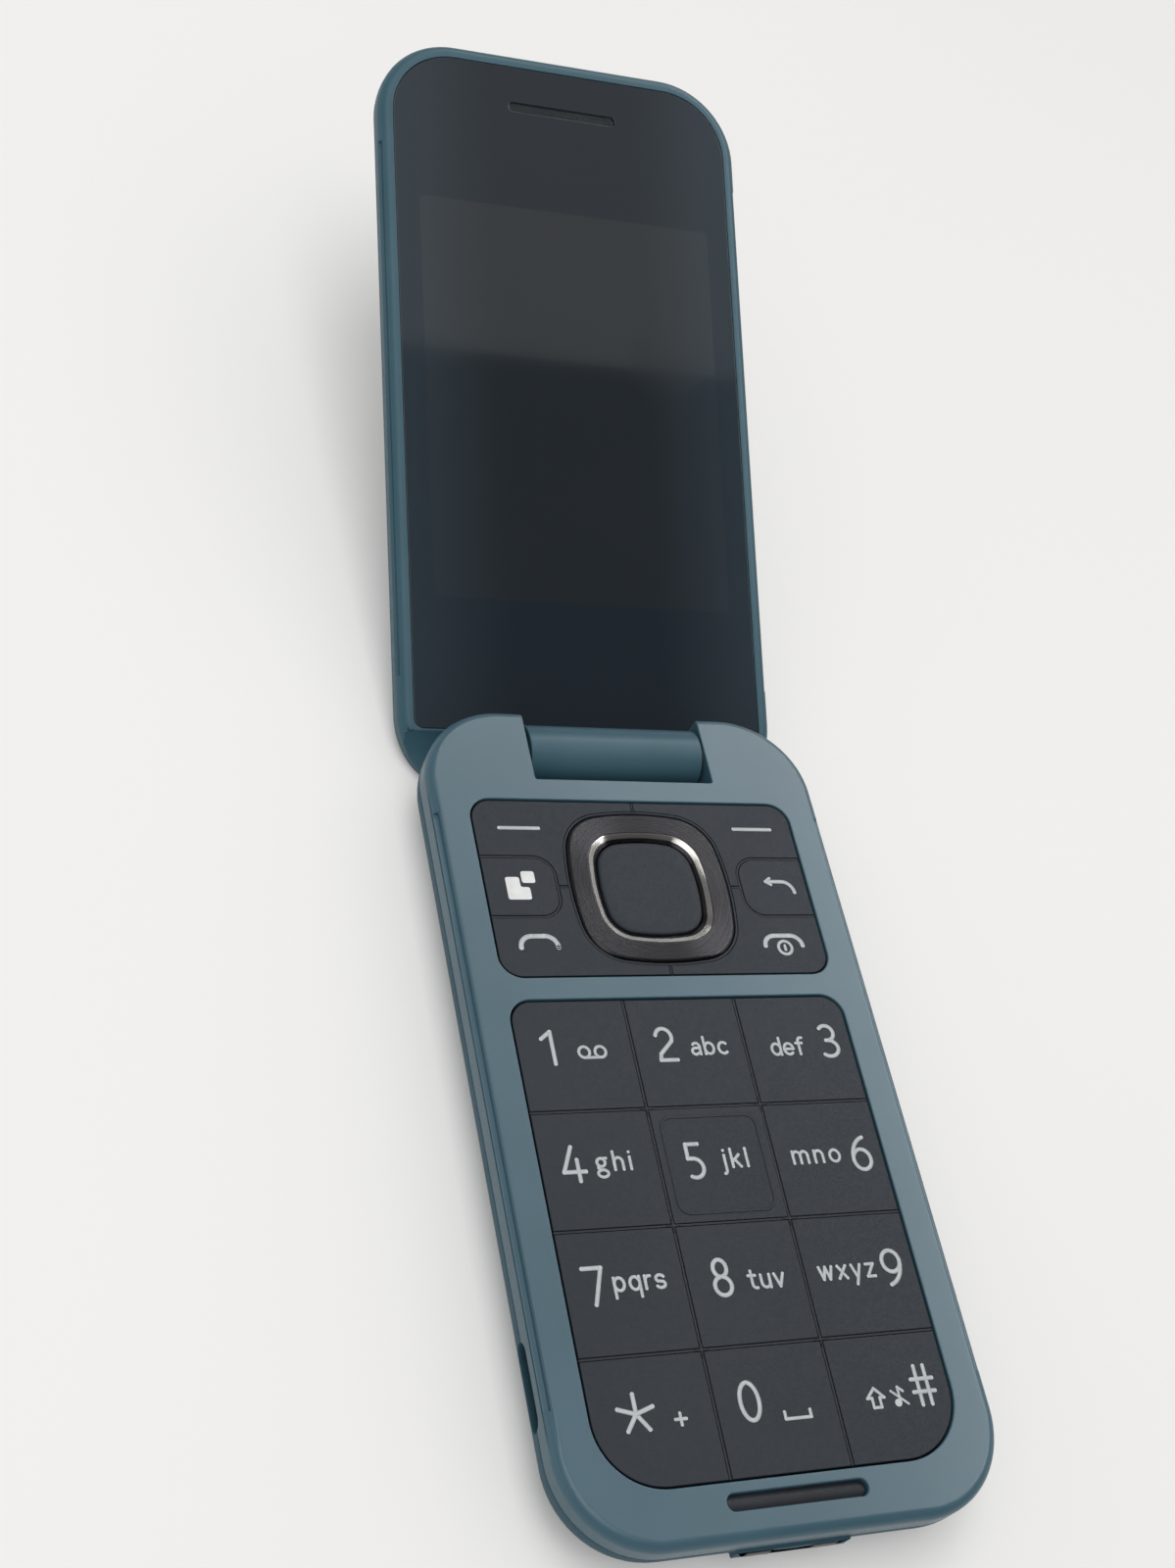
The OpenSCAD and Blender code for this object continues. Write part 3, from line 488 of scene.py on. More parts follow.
@dataclass(frozen=True)
class Turned(Finish):
    """Metal with the fine round lines of a lathe about an upright axis."""

    tone: Tone
    shade: Tone
    centre: Sequence[float] = (0.0, NAV_Y, 0.0)
    roughness: Flat = (0.2, 0.34)
    density: float = 9000.0
    depth: float = 0.0015
    anisotropy: float = 0.97
    tilt: float = 0.0

    def wire(self, surface: Surface) -> None:
        """Vary tone, roughness and relief by the turned lines.

        Args:
            surface: The material's nodes.
        """
        about = surface.about(self.centre, self.tilt)
        lines = surface.effect(Effect.TURNED, about, Density=self.density)["Lines"]
        surface.cover({
            "Base Color": surface.mix(lines, self.tone, self.shade),
            "Roughness": surface.remap(lines, 0.0, 1.0, *self.roughness),
            "Metallic": 1.0, "Anisotropic": self.anisotropy, "Anisotropic Rotation": RADIAL_TURN,
            "Tangent": surface.add("ShaderNodeTangent", direction_type="RADIAL", axis="Z")})
        surface.bump(lines, self.depth)


@dataclass(frozen=True)
class Brushed(Finish):
    """Bare or plated metal with short straight lines along one axis."""

    tone: Tone
    shade: Tone
    stretch: Place = (40.0, 900.0, 900.0)
    grain_scale: float = 6.0
    blotch_scale: float = 0.6
    roughness: Flat = (0.28, 0.45)
    depth: float = 0.001

    def wire(self, surface: Surface) -> None:
        """Stretch the grain along one axis.

        Args:
            surface: The material's nodes.
        """
        drawn = surface.add("ShaderNodeMapping", {"Vector": surface.coords, "Scale": self.stretch})
        grain = surface.grain(self.grain_scale, self.blotch_scale, drawn)
        surface.cover({
            "Base Color": surface.mix(grain["Grain"], self.tone, self.shade),
            "Roughness": surface.remap(grain["Blotch"], 0.0, 1.0, *self.roughness), "Metallic": 1.0})
        surface.bump(grain["Grain"], self.depth)


@dataclass(frozen=True)
class Glazed(Finish):
    """Black-backed window, lightened towards its long sides by a painted glow, with a display area, faint
    smears and dust.
    """

    border: Tone
    display: Tone
    centre: Flat
    size: Flat
    corner: float = 0.8
    blur: float = 0.12
    smear_scales: Flat = (900.0, 55.0)
    smear_from: float = 0.2
    roughness: Flat = (0.05, 0.1)
    dust: float = 0.1
    dust_scale: float = 190.0
    dust_tone: Tone = (96, 102, 106)
    dust_rough: float = 0.5
    mirror: float = 0.3
    # painted light: a lighter tone that the glass takes towards its long sides, standing in for the glow it
    # picks up from the pale floor
    painted_side_glow: Tone = (34, 46, 54)
    painted_glow_reach: Flat = (9.0, 27.0)
    ior: float = 1.5

    def wire(self, surface: Surface) -> None:
        """Paint the display area, which mirrors a little more, in lid coordinates, then smears and dust.

        Args:
            surface: The material's nodes.
        """
        local = surface.about(LID_FRAME.spot(self.centre), LID_FRAME.tilt)
        area = surface.effect(
            Effect.PANEL, local, Width=self.size[0] * MM, Length=self.size[1] * MM,
            Corner=self.corner * MM, Blur=self.blur * MM)["Mask"]
        grain = surface.grain(*self.smear_scales)
        specks = surface.effect(
            Effect.SPECKS, surface.coords, Scale=self.dust_scale, Share=self.dust)["Mask"]
        # share of the painted glow, which grows towards the long sides of the lid
        across = surface.math("ABSOLUTE", surface.add("ShaderNodeSeparateXYZ", {0: local}))
        painted_glow_share = surface.remap(across, self.painted_glow_reach[0] * MM, self.painted_glow_reach[1] * MM)
        colour = surface.mix(painted_glow_share, surface.mix(area, self.border, self.display), self.painted_side_glow)
        smear = surface.remap(grain["Blotch"], self.smear_from, 1.0, *self.roughness)
        dusty = surface.math("MULTIPLY", specks, self.dust_rough)
        surface.cover({
            "Base Color": surface.mix(specks, colour, self.dust_tone),
            "Roughness": surface.math("ADD", smear, dusty),
            "Coat Weight": surface.math("MULTIPLY", area, self.mirror), "IOR": self.ior})


@dataclass(frozen=True)
class Optic(Finish):
    """Lens or diffuser of the lid: tones in rings from the middle out, and fine round ridges."""

    inner: Tone
    coating: Tone
    outer: Tone
    centre: Flat
    radius: float
    pitch: float
    depth: float
    roughness: Flat = (0.03, 0.06)
    coating_from: Flat = (0.25, 0.5)
    outer_from: Flat = (0.5, 0.9)

    def wire(self, surface: Surface) -> None:
        """Blend the tones outwards and raise the ridges.

        Args:
            surface: The material's nodes.
        """
        local = surface.about(LID_FRAME.spot(self.centre), LID_FRAME.tilt)
        rings = surface.effect(Effect.RIDGES, local, Radius=self.radius * MM, Pitch=self.pitch * MM)
        colour = surface.mix(surface.remap(rings["Share"], *self.coating_from), self.inner, self.coating)
        surface.cover({
            "Base Color": surface.mix(surface.remap(rings["Share"], *self.outer_from), colour, self.outer),
            "Roughness": surface.remap(rings["Ridges"], 0.0, 1.0, *self.roughness)})
        surface.bump(rings["Ridges"], self.depth)


@dataclass(frozen=True)
class Printed(Finish):
    """Matte print on a key, a little uneven as screen print is."""

    tone: Tone
    shade: Tone
    grain_scale: float = 5200.0
    blotch_scale: float = 700.0
    roughness: Flat = (0.5, 0.62)

    def wire(self, surface: Surface) -> None:
        """Mix the two tones by the blotches.

        Args:
            surface: The material's nodes.
        """
        grain = surface.grain(self.grain_scale, self.blotch_scale)
        surface.cover({
            "Base Color": surface.mix(grain["Blotch"], self.tone, self.shade),
            "Roughness": surface.remap(grain["Grain"], 0.0, 1.0, *self.roughness)})


@dataclass(frozen=True)
class Circuit(Finish):
    """Solder mask over copper tracks, or film over printed lines."""

    tone: Tone
    track: Tone
    pitch: Flat = (2.4, 0.5)
    track_w: float = 0.08
    relief: float = 0.02
    grain_scale: float = 2500.0
    blotch_scale: float = 120.0
    roughness: Flat = (0.3, 0.45)

    def wire(self, surface: Surface) -> None:
        """Lay staggered tracks under the mask.

        Args:
            surface: The material's nodes.
        """
        tracks = surface.add("ShaderNodeTexBrick", {
            "Vector": surface.coords, "Color1": linear(self.tone), "Color2": linear(self.tone),
            "Mortar": linear(self.track), "Scale": 1.0, "Mortar Size": self.track_w * MM,
            "Brick Width": self.pitch[0] * MM, "Row Height": self.pitch[1] * MM}).outputs
        grain = surface.grain(self.grain_scale, self.blotch_scale)
        surface.cover({
            "Base Color": tracks["Color"],
            "Roughness": surface.remap(grain["Blotch"], 0.0, 1.0, *self.roughness)})
        surface.bump(tracks["Fac"], self.relief)


SHELL = Moulded(
    "slate shell", tone=(64, 94, 107), shade=(59, 89, 102), roughness=(0.3, 0.38), depth=0.0006, gloss=0.35)
LID_SHELL = Moulded(
    "soft lid shell", tone=(61, 92, 104), shade=(56, 87, 99), roughness=(0.36, 0.46), depth=0.0006,
    gloss=0.19)
BACK_SHELL = Moulded(
    "matte back shell", tone=(56, 86, 99), shade=(51, 80, 93), roughness=(0.5, 0.6), gloss=0.12)
KEY_FILM = Moulded(
    "charcoal key", tone=(43, 48, 55), shade=(40, 45, 52), roughness=(0.46, 0.58), blotch_scale=45.0,
    dust=0.02, dust_tone=(96, 99, 102), gloss=0.14)
SEAM_FILM = Moulded(
    "seam between keys", tone=(34, 38, 44), shade=(31, 35, 40), roughness=(0.55, 0.65), dust=0.0,
    gloss=0.25)
SEAL = Moulded(
    "rubber seal", tone=(40, 44, 51), shade=(34, 38, 44), roughness=(0.5, 0.65), dust=0.06, gloss=0.2)
BLACK_CASE = Moulded("black case", tone=(26, 26, 28), shade=(20, 20, 22), roughness=(0.3, 0.42), dust=0.0)
GAUZE = Moulded(
    "dark gauze", tone=(22, 24, 27), shade=(15, 17, 19), roughness=(0.5, 0.65), dust=0.0, gloss=0.3)
EAR_GAUZE = Moulded(
    "earpiece gauze", tone=(52, 58, 63), shade=(44, 50, 55), roughness=(0.5, 0.65), dust=0.0, gloss=0.3)
RING_METAL = Turned("spun gun metal", tone=(50, 50, 52), shade=(37, 37, 39))
RING_EDGE = Turned(
    "bright cut edge", tone=(166, 163, 159), shade=(150, 147, 144), roughness=(0.14, 0.22))
BEZEL_METAL = Turned(
    "camera bezel metal", tone=(120, 122, 126), shade=(92, 94, 98),
    centre=tuple(LID_FRAME.spot(CAMERA_SPOT)), tilt=LID_FRAME.tilt)
STEEL = Brushed("bare steel", tone=(188, 190, 194), shade=(150, 152, 156))
PLATED = Brushed("plated contact", tone=(92, 92, 94), shade=(66, 66, 68))
FOIL = Brushed("cell foil", tone=(200, 201, 203), shade=(182, 183, 186), stretch=(300.0, 60.0, 300.0))
INK = Printed("key print", tone=(188, 193, 195), shade=(178, 183, 186))
WHITE_INK = Printed("icon print", tone=(222, 224, 222), shade=(212, 214, 213))
BOARD = Circuit("solder mask", tone=(28, 86, 58), track=(40, 110, 76))
FILM = Circuit("film cable", tone=(118, 72, 30), track=(150, 96, 44), pitch=(30.0, 0.6))
DISPLAY_GLASS = Glazed(
    "display glass", border=(11, 24, 34), display=(10, 21, 29), centre=DISPLAY_SPOT, size=(44.2, 57.4))
OUTER_GLASS = Glazed(
    "outer glass", border=(18, 19, 22), display=(24, 27, 30), centre=OUTER_SPOT, size=(33.0, 28.0))
LCD = Glazed(
    "bare display", border=(22, 24, 28), display=(30, 33, 38), centre=DISPLAY_SPOT, size=(40.0, 54.0))
LENS = Optic(
    "coated lens", inner=(5, 5, 8), coating=(34, 24, 58), outer=(12, 12, 17), centre=CAMERA_SPOT,
    radius=2.5, pitch=0.8, depth=0.003)
FLASH_LENS = Optic(
    "ribbed diffuser", inner=(236, 216, 128), coating=(228, 226, 206), outer=(204, 204, 194),
    centre=FLASH_SPOT, radius=1.5, pitch=0.3, depth=0.04, roughness=(0.14, 0.24))


def add_object(name: str, data: bpy.types.ID) -> bpy.types.Object:
    """Put a mesh, a lamp or a camera into the scene.

    Args:
        name: The object's name.
        data: Its mesh, light or camera.

    Returns:
        The new object, at the origin.
    """
    made = bpy.data.objects.new(name, data)
    bpy.context.scene.collection.objects.link(made)
    return made


def bake(piece: bpy.types.Object) -> None:
    """Turn a piece's modifiers into a plain mesh.

    Args:
        piece: The piece, which is left without modifiers.
    """
    graph = bpy.context.evaluated_depsgraph_get()
    mesh = bpy.data.meshes.new_from_object(
        piece.evaluated_get(graph), preserve_all_data_layers=True, depsgraph=graph)
    piece.modifiers.clear()
    piece.data = mesh


def carried_by(node: str) -> str:
    """Return the body that carries a CAD node."""
    return frame["nodes"][node]["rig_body"]


def seat(piece: bpy.types.Object, body: str, finish: Finish | None = None) -> bpy.types.Object:
    """Ride a piece on a body and report it.

    Args:
        piece: The piece.
        body: The body that carries it.
        finish: Finish for a piece that has no material yet.

    Returns:
        The same piece.
    """
    if finish is not None:
        piece.data.materials.clear()
        piece.data.materials.append(finish.material())
    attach(piece, body)
    LOG.info("%s rides on %s, %d faces", piece.name, body, len(piece.data.polygons))
    return piece


def paint(finishes: Mapping[str, Finish]) -> None:
    """Give CAD nodes that keep their solids, in view or inside, their finishes.

    Args:
        finishes: Finish by node name.
    """
    for node, finish in finishes.items():
        part = frame["nodes"][node]
        if part.material_slots:
            for place in part.material_slots:
                place.material = finish.material()
        else:
            part.data.materials.append(finish.material())
        LOG.info("%s keeps its solid in %s", node, finish.name)


@dataclass(frozen=True)
class Eased:
    """A CAD node whose sharp edges are broken, as moulding leaves them."""

    node: str
    slot: Slot
    finish: Finish
    width: float = 0.15
    segments: int = 3
    angle: float = 32.0
    merge: float = 0.0005
    flat_angle: float = 0.3
    least: float = 0.01

    def build(self) -> bpy.types.Object:
        """Copy the node, merge its loose triangles, break its edges and let it stand for the node.

        Returns:
            The eased piece.
        """
        shape = bmesh.new()
        shape.from_mesh(frame["nodes"][self.node].data)
        bmesh.ops.remove_doubles(shape, verts=shape.verts, dist=self.merge * MM)
        bmesh.ops.dissolve_limit(
            shape, angle_limit=math.radians(self.flat_angle), verts=shape.verts, edges=shape.edges)
        bmesh.ops.dissolve_degenerate(shape, dist=self.least * MM, edges=shape.edges)
        self.adjust(shape)
        name = f"{self.node}_eased"
        mesh = bpy.data.meshes.new(name)
        shape.to_mesh(mesh)
        shape.free()
        mesh.shade_smooth()
        mesh.materials.clear()
        piece = add_object(name, mesh)
        edge = piece.modifiers.new("broken edges", "BEVEL")
        edge.width = self.width * MM
        edge.segments = self.segments
        edge.limit_method = "ANGLE"
        edge.angle_limit = math.radians(self.angle)
        edge.use_clamp_overlap = False
        even = piece.modifiers.new("even shading", "WEIGHTED_NORMAL")
        even.keep_sharp = True
        bake(piece)
        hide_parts(self.node)
        return seat(piece, carried_by(self.node), self.finish)

    def adjust(self, shape: bmesh.types.BMesh) -> None:
        """Leave the shape as it is; some pieces move a few of its points."""


@dataclass(frozen=True)
class RibbedMat(Eased):
    """The key mat, whose ribs fill the gaps between the caps to a shallow seam."""

    rib_low: float = 8.7
    rib_top: float = 10.9
    rib_w: float = 0.28
    seam_top: float = 11.06
    slack: float = 0.02
    split: Place = (0.3, 12.0, 10.0)
    bridge: Flat = (11.4, 12.7)

    def adjust(self, shape: bmesh.types.BMesh) -> None:
        """Lift the ribs to the depth of the seam, and bridge the gap on both sides of the ring.

        Args:
            shape: The mat before its edges are broken.
        """
        for point in shape.verts:
            if abs(point.co.z / MM - self.rib_top) < self.slack:
                point.co.z = self.seam_top * MM
        size = Vector((self.bridge[1] - self.bridge[0], self.rib_w, self.seam_top - self.rib_low))
        for side in (-0.5, 0.5):
            middle = Vector((side * sum(self.bridge), NAV_Y, self.seam_top - size.z / 2))
            bmesh.ops.create_cube(shape, size=1.0, matrix=Matrix.LocRotScale(middle * MM, None, size * MM))

    def build(self) -> bpy.types.Object:
        """Build the mat, and finish its ribs above and below the ring as the caps are.

        Returns:
            The mat.
        """
        piece = super().build()
        piece.data.materials.append(KEY_FILM.material())
        for face in piece.data.polygons:
            across, along, height = face.center / MM
            face.material_index = int(
                abs(across) < self.split[0] and along > self.split[1] and height > self.split[2])
        return piece


def squircle(width: float, corner_share: float = 0.272, bow_share: float = 1.6,
             count: int = 30) -> list[Flat]:
    """Outline of a square with bowed sides and round corners.

    Args:
        width: Side to side, in millimetres.
        corner_share: Corner radius as a share of the width.
        bow_share: Radius of the sides as a share of the width.
        count: Points in each quarter.

    Returns:
        Points, counter-clockwise from the right-hand side.
    """
    corner = corner_share * width
    bow = bow_share * width
    shift = bow - width / 2
    reach = bow - corner
    middle = (math.sqrt(2 * reach * reach - shift * shift) - shift) / 2
    turn = math.atan2(middle, middle + shift)
    quarter = []
    for index in range(count):
        angle = math.pi / 2 * index / count
        if angle < turn:
            quarter.append((bow * math.cos(angle) - shift, bow * math.sin(angle)))
        elif angle > math.pi / 2 - turn:
            quarter.append((bow * math.cos(angle), bow * math.sin(angle) - shift))
        else:
            quarter.append((middle + corner * math.cos(angle), middle + corner * math.sin(angle)))
    points = []
    for _ in range(4):
        points += quarter
        quarter = [(-y, x) for x, y in quarter]
    return points


def loft(name: str, rings: Sequence[Sequence[Vector]], closed: bool) -> bpy.types.Object:
    """Skin a row of rings that have the same number of points.

    Args:
        name: The piece's name.
        rings: The rings in order, in metres.
        closed: True to join the last ring to the first, False to cap both ends.

    Returns:
        The piece, with outward normals and smooth rounds.
    """
    shape = bmesh.new()
    rows = [[shape.verts.new(point) for point in ring] for ring in rings]
    count = len(rows[0])
    pairs = list(zip(rows, rows[1:]))
    if closed:
        pairs.append((rows[-1], rows[0]))
    for lower, upper in pairs:
        for index in range(count):
            following = (index + 1) % count
            shape.faces.new((lower[index], lower[following], upper[following], upper[index]))
    if not closed:
        shape.faces.new(rows[0][::-1])
        shape.faces.new(rows[-1])
    bmesh.ops.recalc_face_normals(shape, faces=shape.faces)
    mesh = bpy.data.meshes.new(name)
    shape.to_mesh(mesh)
    shape.free()
    mesh.shade_smooth()
    mesh.set_sharp_from_angle(angle=math.radians(SMOOTH_TO))
    return add_object(name, mesh)


class StrokeFont:
    """Single-line signs: points, and arcs as centre, radii, start and end angle, in unit boxes."""

    DIGITS: dict[str, list[Stroke]] = {
        "0": [[(0.5, 0.5, 0.5, 0.5, 90, 450)]],
        "1": [[(0.0, 0.78), (0.55, 1.0), (0.55, 0.0)]],
        "2": [[(0.46, 0.72, 0.46, 0.28, 165, -28), (0.12, 0.2), (0.04, 0.0), (1.0, 0.0)]],
        "3": [[(0.44, 0.76, 0.44, 0.24, 140, -90), (0.34, 0.52)],
              [(0.34, 0.52), (0.42, 0.26, 0.54, 0.26, 90, -130)]],
        "4": [[(0.5, 1.0), (0.0, 0.27), (1.0, 0.27)], [(0.68, 0.62), (0.68, 0.0)]],
        "5": [[(0.86, 1.0), (0.08, 1.0), (0.06, 0.57), (0.38, 0.285, 0.58, 0.285, 95, -120)]],
        "6": [[(0.5, 0.31, 0.48, 0.31, 90, 450)], [(0.98, 0.31, 0.96, 0.69, 180, 103)]],
        "7": [[(0.0, 1.0), (1.0, 1.0), (0.42, 0.0)]],
        "8": [[(0.5, 0.76, 0.4, 0.24, 90, 450)], [(0.5, 0.26, 0.5, 0.26, 90, 450)]],
        "9": [[(0.5, 0.69, 0.48, 0.31, 90, 450)], [(0.02, 0.69, 0.96, 0.69, 0, -77)]],
    }
    LETTERS: dict[str, list[Stroke]] = {
        "a": [[(0.4, 0.66, 0.32, 0.34, 140, 0), (0.72, 0.0)],
              [(0.72, 0.56), (0.32, 0.27, 0.32, 0.29, 90, 270), (0.72, 0.16)]],
        "b": [[(0.0, 1.5), (0.0, 0.0)], [(0.4, 0.5, 0.4, 0.5, 180, 540)]],
        "c": [[(0.42, 0.5, 0.42, 0.5, 50, 310)]],
        "d": [[(0.8, 1.5), (0.8, 0.0)], [(0.4, 0.5, 0.4, 0.5, 0, 360)]],
        "e": [[(0.02, 0.5), (0.84, 0.5), (0.42, 0.5, 0.42, 0.5, 0, 312)]],
        "f": [[(0.55, 1.2, 0.3, 0.3, 75, 180), (0.25, 0.0)], [(0.0, 1.0), (0.55, 1.0)]],
        "g": [[(0.38, 0.66, 0.34, 0.34, 0, 360)], [(0.55, 0.97), (0.84, 1.0)],
              [(0.16, 0.42), (0.1, 0.2), (0.3, 0.08)], [(0.42, -0.26, 0.42, 0.3, 0, 360)]],
        "h": [[(0.0, 1.5), (0.0, 0.0)], [(0.0, 0.6), (0.36, 0.6, 0.36, 0.4, 180, 0), (0.72, 0.0)]],
        "i": [[(0.0, 1.0), (0.0, 0.0)], [(0.0, 1.42)]],
        "j": [[(0.3, 1.0), (0.3, -0.28), (0.06, -0.28, 0.24, 0.26, 0, -80)], [(0.3, 1.42)]],
        "k": [[(0.0, 1.5), (0.0, 0.0)], [(0.66, 1.0), (0.04, 0.44)], [(0.24, 0.62), (0.7, 0.0)]],
        "l": [[(0.0, 1.5), (0.0, 0.0)]],
        "m": [[(0.0, 1.0), (0.0, 0.0)], [(0.0, 0.64), (0.33, 0.64, 0.33, 0.36, 180, 0), (0.66, 0.0)],
              [(0.66, 0.64), (0.99, 0.64, 0.33, 0.36, 180, 0), (1.32, 0.0)]],
        "n": [[(0.0, 1.0), (0.0, 0.0)], [(0.0, 0.6), (0.36, 0.6, 0.36, 0.4, 180, 0), (0.72, 0.0)]],
        "o": [[(0.44, 0.5, 0.44, 0.5, 0, 360)]],
        "p": [[(0.0, 1.0), (0.0, -0.55)], [(0.4, 0.5, 0.4, 0.5, 180, 540)]],
        "q": [[(0.8, 1.0), (0.8, -0.55)], [(0.4, 0.5, 0.4, 0.5, 0, 360)]],
        "r": [[(0.0, 1.0), (0.0, 0.0)], [(0.0, 0.55), (0.36, 0.6, 0.36, 0.4, 180, 80)]],
        "s": [[(0.36, 0.74, 0.34, 0.26, 30, 235), (0.36, 0.26, 0.36, 0.26, 55, -150)]],
        "t": [[(0.26, 1.36), (0.26, 0.3), (0.54, 0.3, 0.28, 0.3, 180, 285)], [(0.0, 1.0), (0.58, 1.0)]],
        "u": [[(0.0, 1.0), (0.36, 0.4, 0.36, 0.4, 180, 360)], [(0.72, 1.0), (0.72, 0.0)]],
        "v": [[(0.0, 1.0), (0.38, 0.0), (0.76, 1.0)]],
        "w": [[(0.0, 1.0), (0.28, 0.0), (0.56, 1.0), (0.84, 0.0), (1.12, 1.0)]],
        "x": [[(0.0, 1.0), (0.7, 0.0)], [(0.7, 1.0), (0.0, 0.0)]],
        "y": [[(0.0, 1.0), (0.38, 0.0)], [(0.76, 1.0), (0.22, -0.55)]],
        "z": [[(0.0, 1.0), (0.66, 1.0), (0.0, 0.0), (0.66, 0.0)]],
    }
    ARC_STEP = 12.0

    @classmethod
    def trace(cls, stroke: Stroke) -> list[tuple[float, float, bool]]:
        """Follow one stroke.

        Args:
            stroke: Points and arcs in order.

        Returns:
            Points with a mark that says where the line ends or turns a corner.
        """
        points: list[tuple[float, float, bool]] = []
        for item in stroke:
            if len(item) == 2:
                points.append((item[0], item[1], True))
                continue
            across, up, wide, high, start, end = item
            steps = max(2, math.ceil(abs(end - start) / cls.ARC_STEP))
            for index in range(steps + 1):
                angle = math.radians(start + (end - start) * index / steps)
                corner = index in (0, steps)
                points.append((across + wide * math.cos(angle), up + high * math.sin(angle), corner))
        return points


@dataclass
class PrintPlate:
    """All the print of one key: lines of a given width on the face of the key or of a level neighbour."""

    body: str
    face: str
    finish: Finish
    height: float = 0.036
    step: float = 0.002
    block_share: float = 0.25
    touching: float = 1e-4
    runs: int = 0
    points: list[tuple[float, float, float, float, bool]] = field(default_factory=list)
    edges: list[tuple[int, int]] = field(default_factory=list)
    blocks: list[list[Flat]] = field(default_factory=list)

    def line(self, stroke: Stroke, width: float, origin: Flat = (0.0, 0.0),
             scale: Flat = (1.0, 1.0)) -> None:
        """Draw one stroke.

        Args:
            stroke: Points and arcs, in units of scale.
            width: Line width in millimetres.
            origin: Place of the stroke's zero point.
            scale: Millimetres for one unit across and up.
        """
        run: list[Flat] = []
        for across, up, corner in StrokeFont.trace(stroke):
            run.append((origin[0] + across * scale[0], origin[1] + up * scale[1]))
            if corner and len(run) > 1:
                self.add_run(run, width)
                run = run[-1:]
        if len(stroke) == 1 and len(run) == 1 and len(stroke[0]) == 2:
            self.add_run(run, width)

    def add_run(self, run: Sequence[Flat], width: float) -> None:
        """Lay one smooth run of a line at a height of its own, so that no two runs share a face.

        Args:
            run: Its points in order.
            width: Line width in millimetres.
        """
        closed = len(run) > 1 and math.dist(run[0], run[-1]) < self.touching
        if closed and len(run) == 2:
            return
        first = len(self.points)
        for index, (across, up) in enumerate(run):
            rounded = index == 0 or index == len(run) - 1 and not closed
            self.points.append((across, up, self.runs * self.step, width, rounded))
        self.edges += [(index, index + 1) for index in range(first, len(self.points) - 1)]
        self.runs += 1

    def digit(self, sign: str, centre: Flat, size: Flat, width: float) -> None:
        """Draw a number.

        Args:
            sign: The number.
            centre: Middle of its box.
            size: Width and height of its box.
            width: Line width.
        """
        corner = (centre[0] - size[0] / 2, centre[1] - size[1] / 2)
        for stroke in StrokeFont.DIGITS[sign]:
            self.line(stroke, width, corner, size)

    def word(self, text: str, place: Flat, inked: float, rise: float, width: float) -> None:
        """Set letters on a base line, spaced to an inked width.

        Args:
            text: The letters.
            place: Middle of the group across the key, and height of the base line's centre line.
            inked: Width over all, with the line width.
            rise: Height of a small letter's centre line.
            width: Line width.
        """
        spans = []
        for letter in text:
            across = [p[0] for stroke in StrokeFont.LETTERS[letter] for p in StrokeFont.trace(stroke)]
            spans.append((min(across) * rise, max(across) * rise))
        filled = sum(high - low for low, high in spans)
        gap = (inked - width - filled) / max(1, len(text) - 1)
        cursor = place[0] - (inked - width) / 2
        for letter, (low, high) in zip(text, spans):
            for stroke in StrokeFont.LETTERS[letter]:
                self.line(stroke, width, (cursor - low, place[1]), (rise, rise))
            cursor += high - low + gap

    def build(self) -> None:
        """Make the print a piece on its key."""
        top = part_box(self.face)[1].z
        name = f"{self.body}_print"
        mesh = bpy.data.meshes.new(name)
        mesh.from_pydata([(x * MM, y * MM, top + z * MM) for x, y, z, _, _ in self.points], self.edges, [])
        widths = mesh.attributes.new("stroke", "FLOAT", "POINT")
        corners = mesh.attributes.new("corner", "BOOLEAN", "POINT")
        for index, (_, _, _, width, corner) in enumerate(self.points):
            widths.data[index].value = width * MM
            corners.data[index].value = corner
        piece = add_object(name, mesh)
        grow(piece, printed_line_tree(), {"Height": self.height, "Finish": self.finish.material()})
        if self.blocks:
            self.add_blocks(piece.data, top)
        seat(piece, self.body)

    def add_blocks(self, mesh: bpy.types.Mesh, top: float) -> None:
        """Add the filled shapes to a mesh of lines.

        Args:
            mesh: The mesh.
            top: Height of the cap's face, in metres.
        """
        shape = bmesh.new()
        shape.from_mesh(mesh)
        half = self.height * self.block_share * MM
        for block in self.blocks:
            lower = [shape.verts.new((x * MM, y * MM, top - half)) for x, y in block]
            upper = [shape.verts.new((x * MM, y * MM, top + half)) for x, y in block]
            faces = [shape.faces.new(lower[::-1]), shape.faces.new(upper)]
            for index in range(len(block)):
                after = (index + 1) % len(block)
                faces.append(shape.faces.new((lower[index], lower[after], upper[after], upper[index])))
            bmesh.ops.recalc_face_normals(shape, faces=faces)
        shape.to_mesh(mesh)
        shape.free()
        if not mesh.materials:
            mesh.materials.append(self.finish.material())


def grow(piece: bpy.types.Object, tree: bpy.types.NodeTree, values: Mapping[str, object]) -> None:
    """Run a Geometry Nodes tree on a piece, with inputs set by their sockets' identifiers, and bake it.

    Args:
        piece: The piece.
        tree: The tree.
        values: Values by input name.
    """
    modifier = piece.modifiers.new(tree.name, "NODES")
    modifier.node_group = tree
    for item in tree.interface.items_tree:
        if item.item_type == "SOCKET" and item.in_out == "INPUT" and item.name in values:
            modifier[item.identifier] = values[item.name]
    bake(piece)


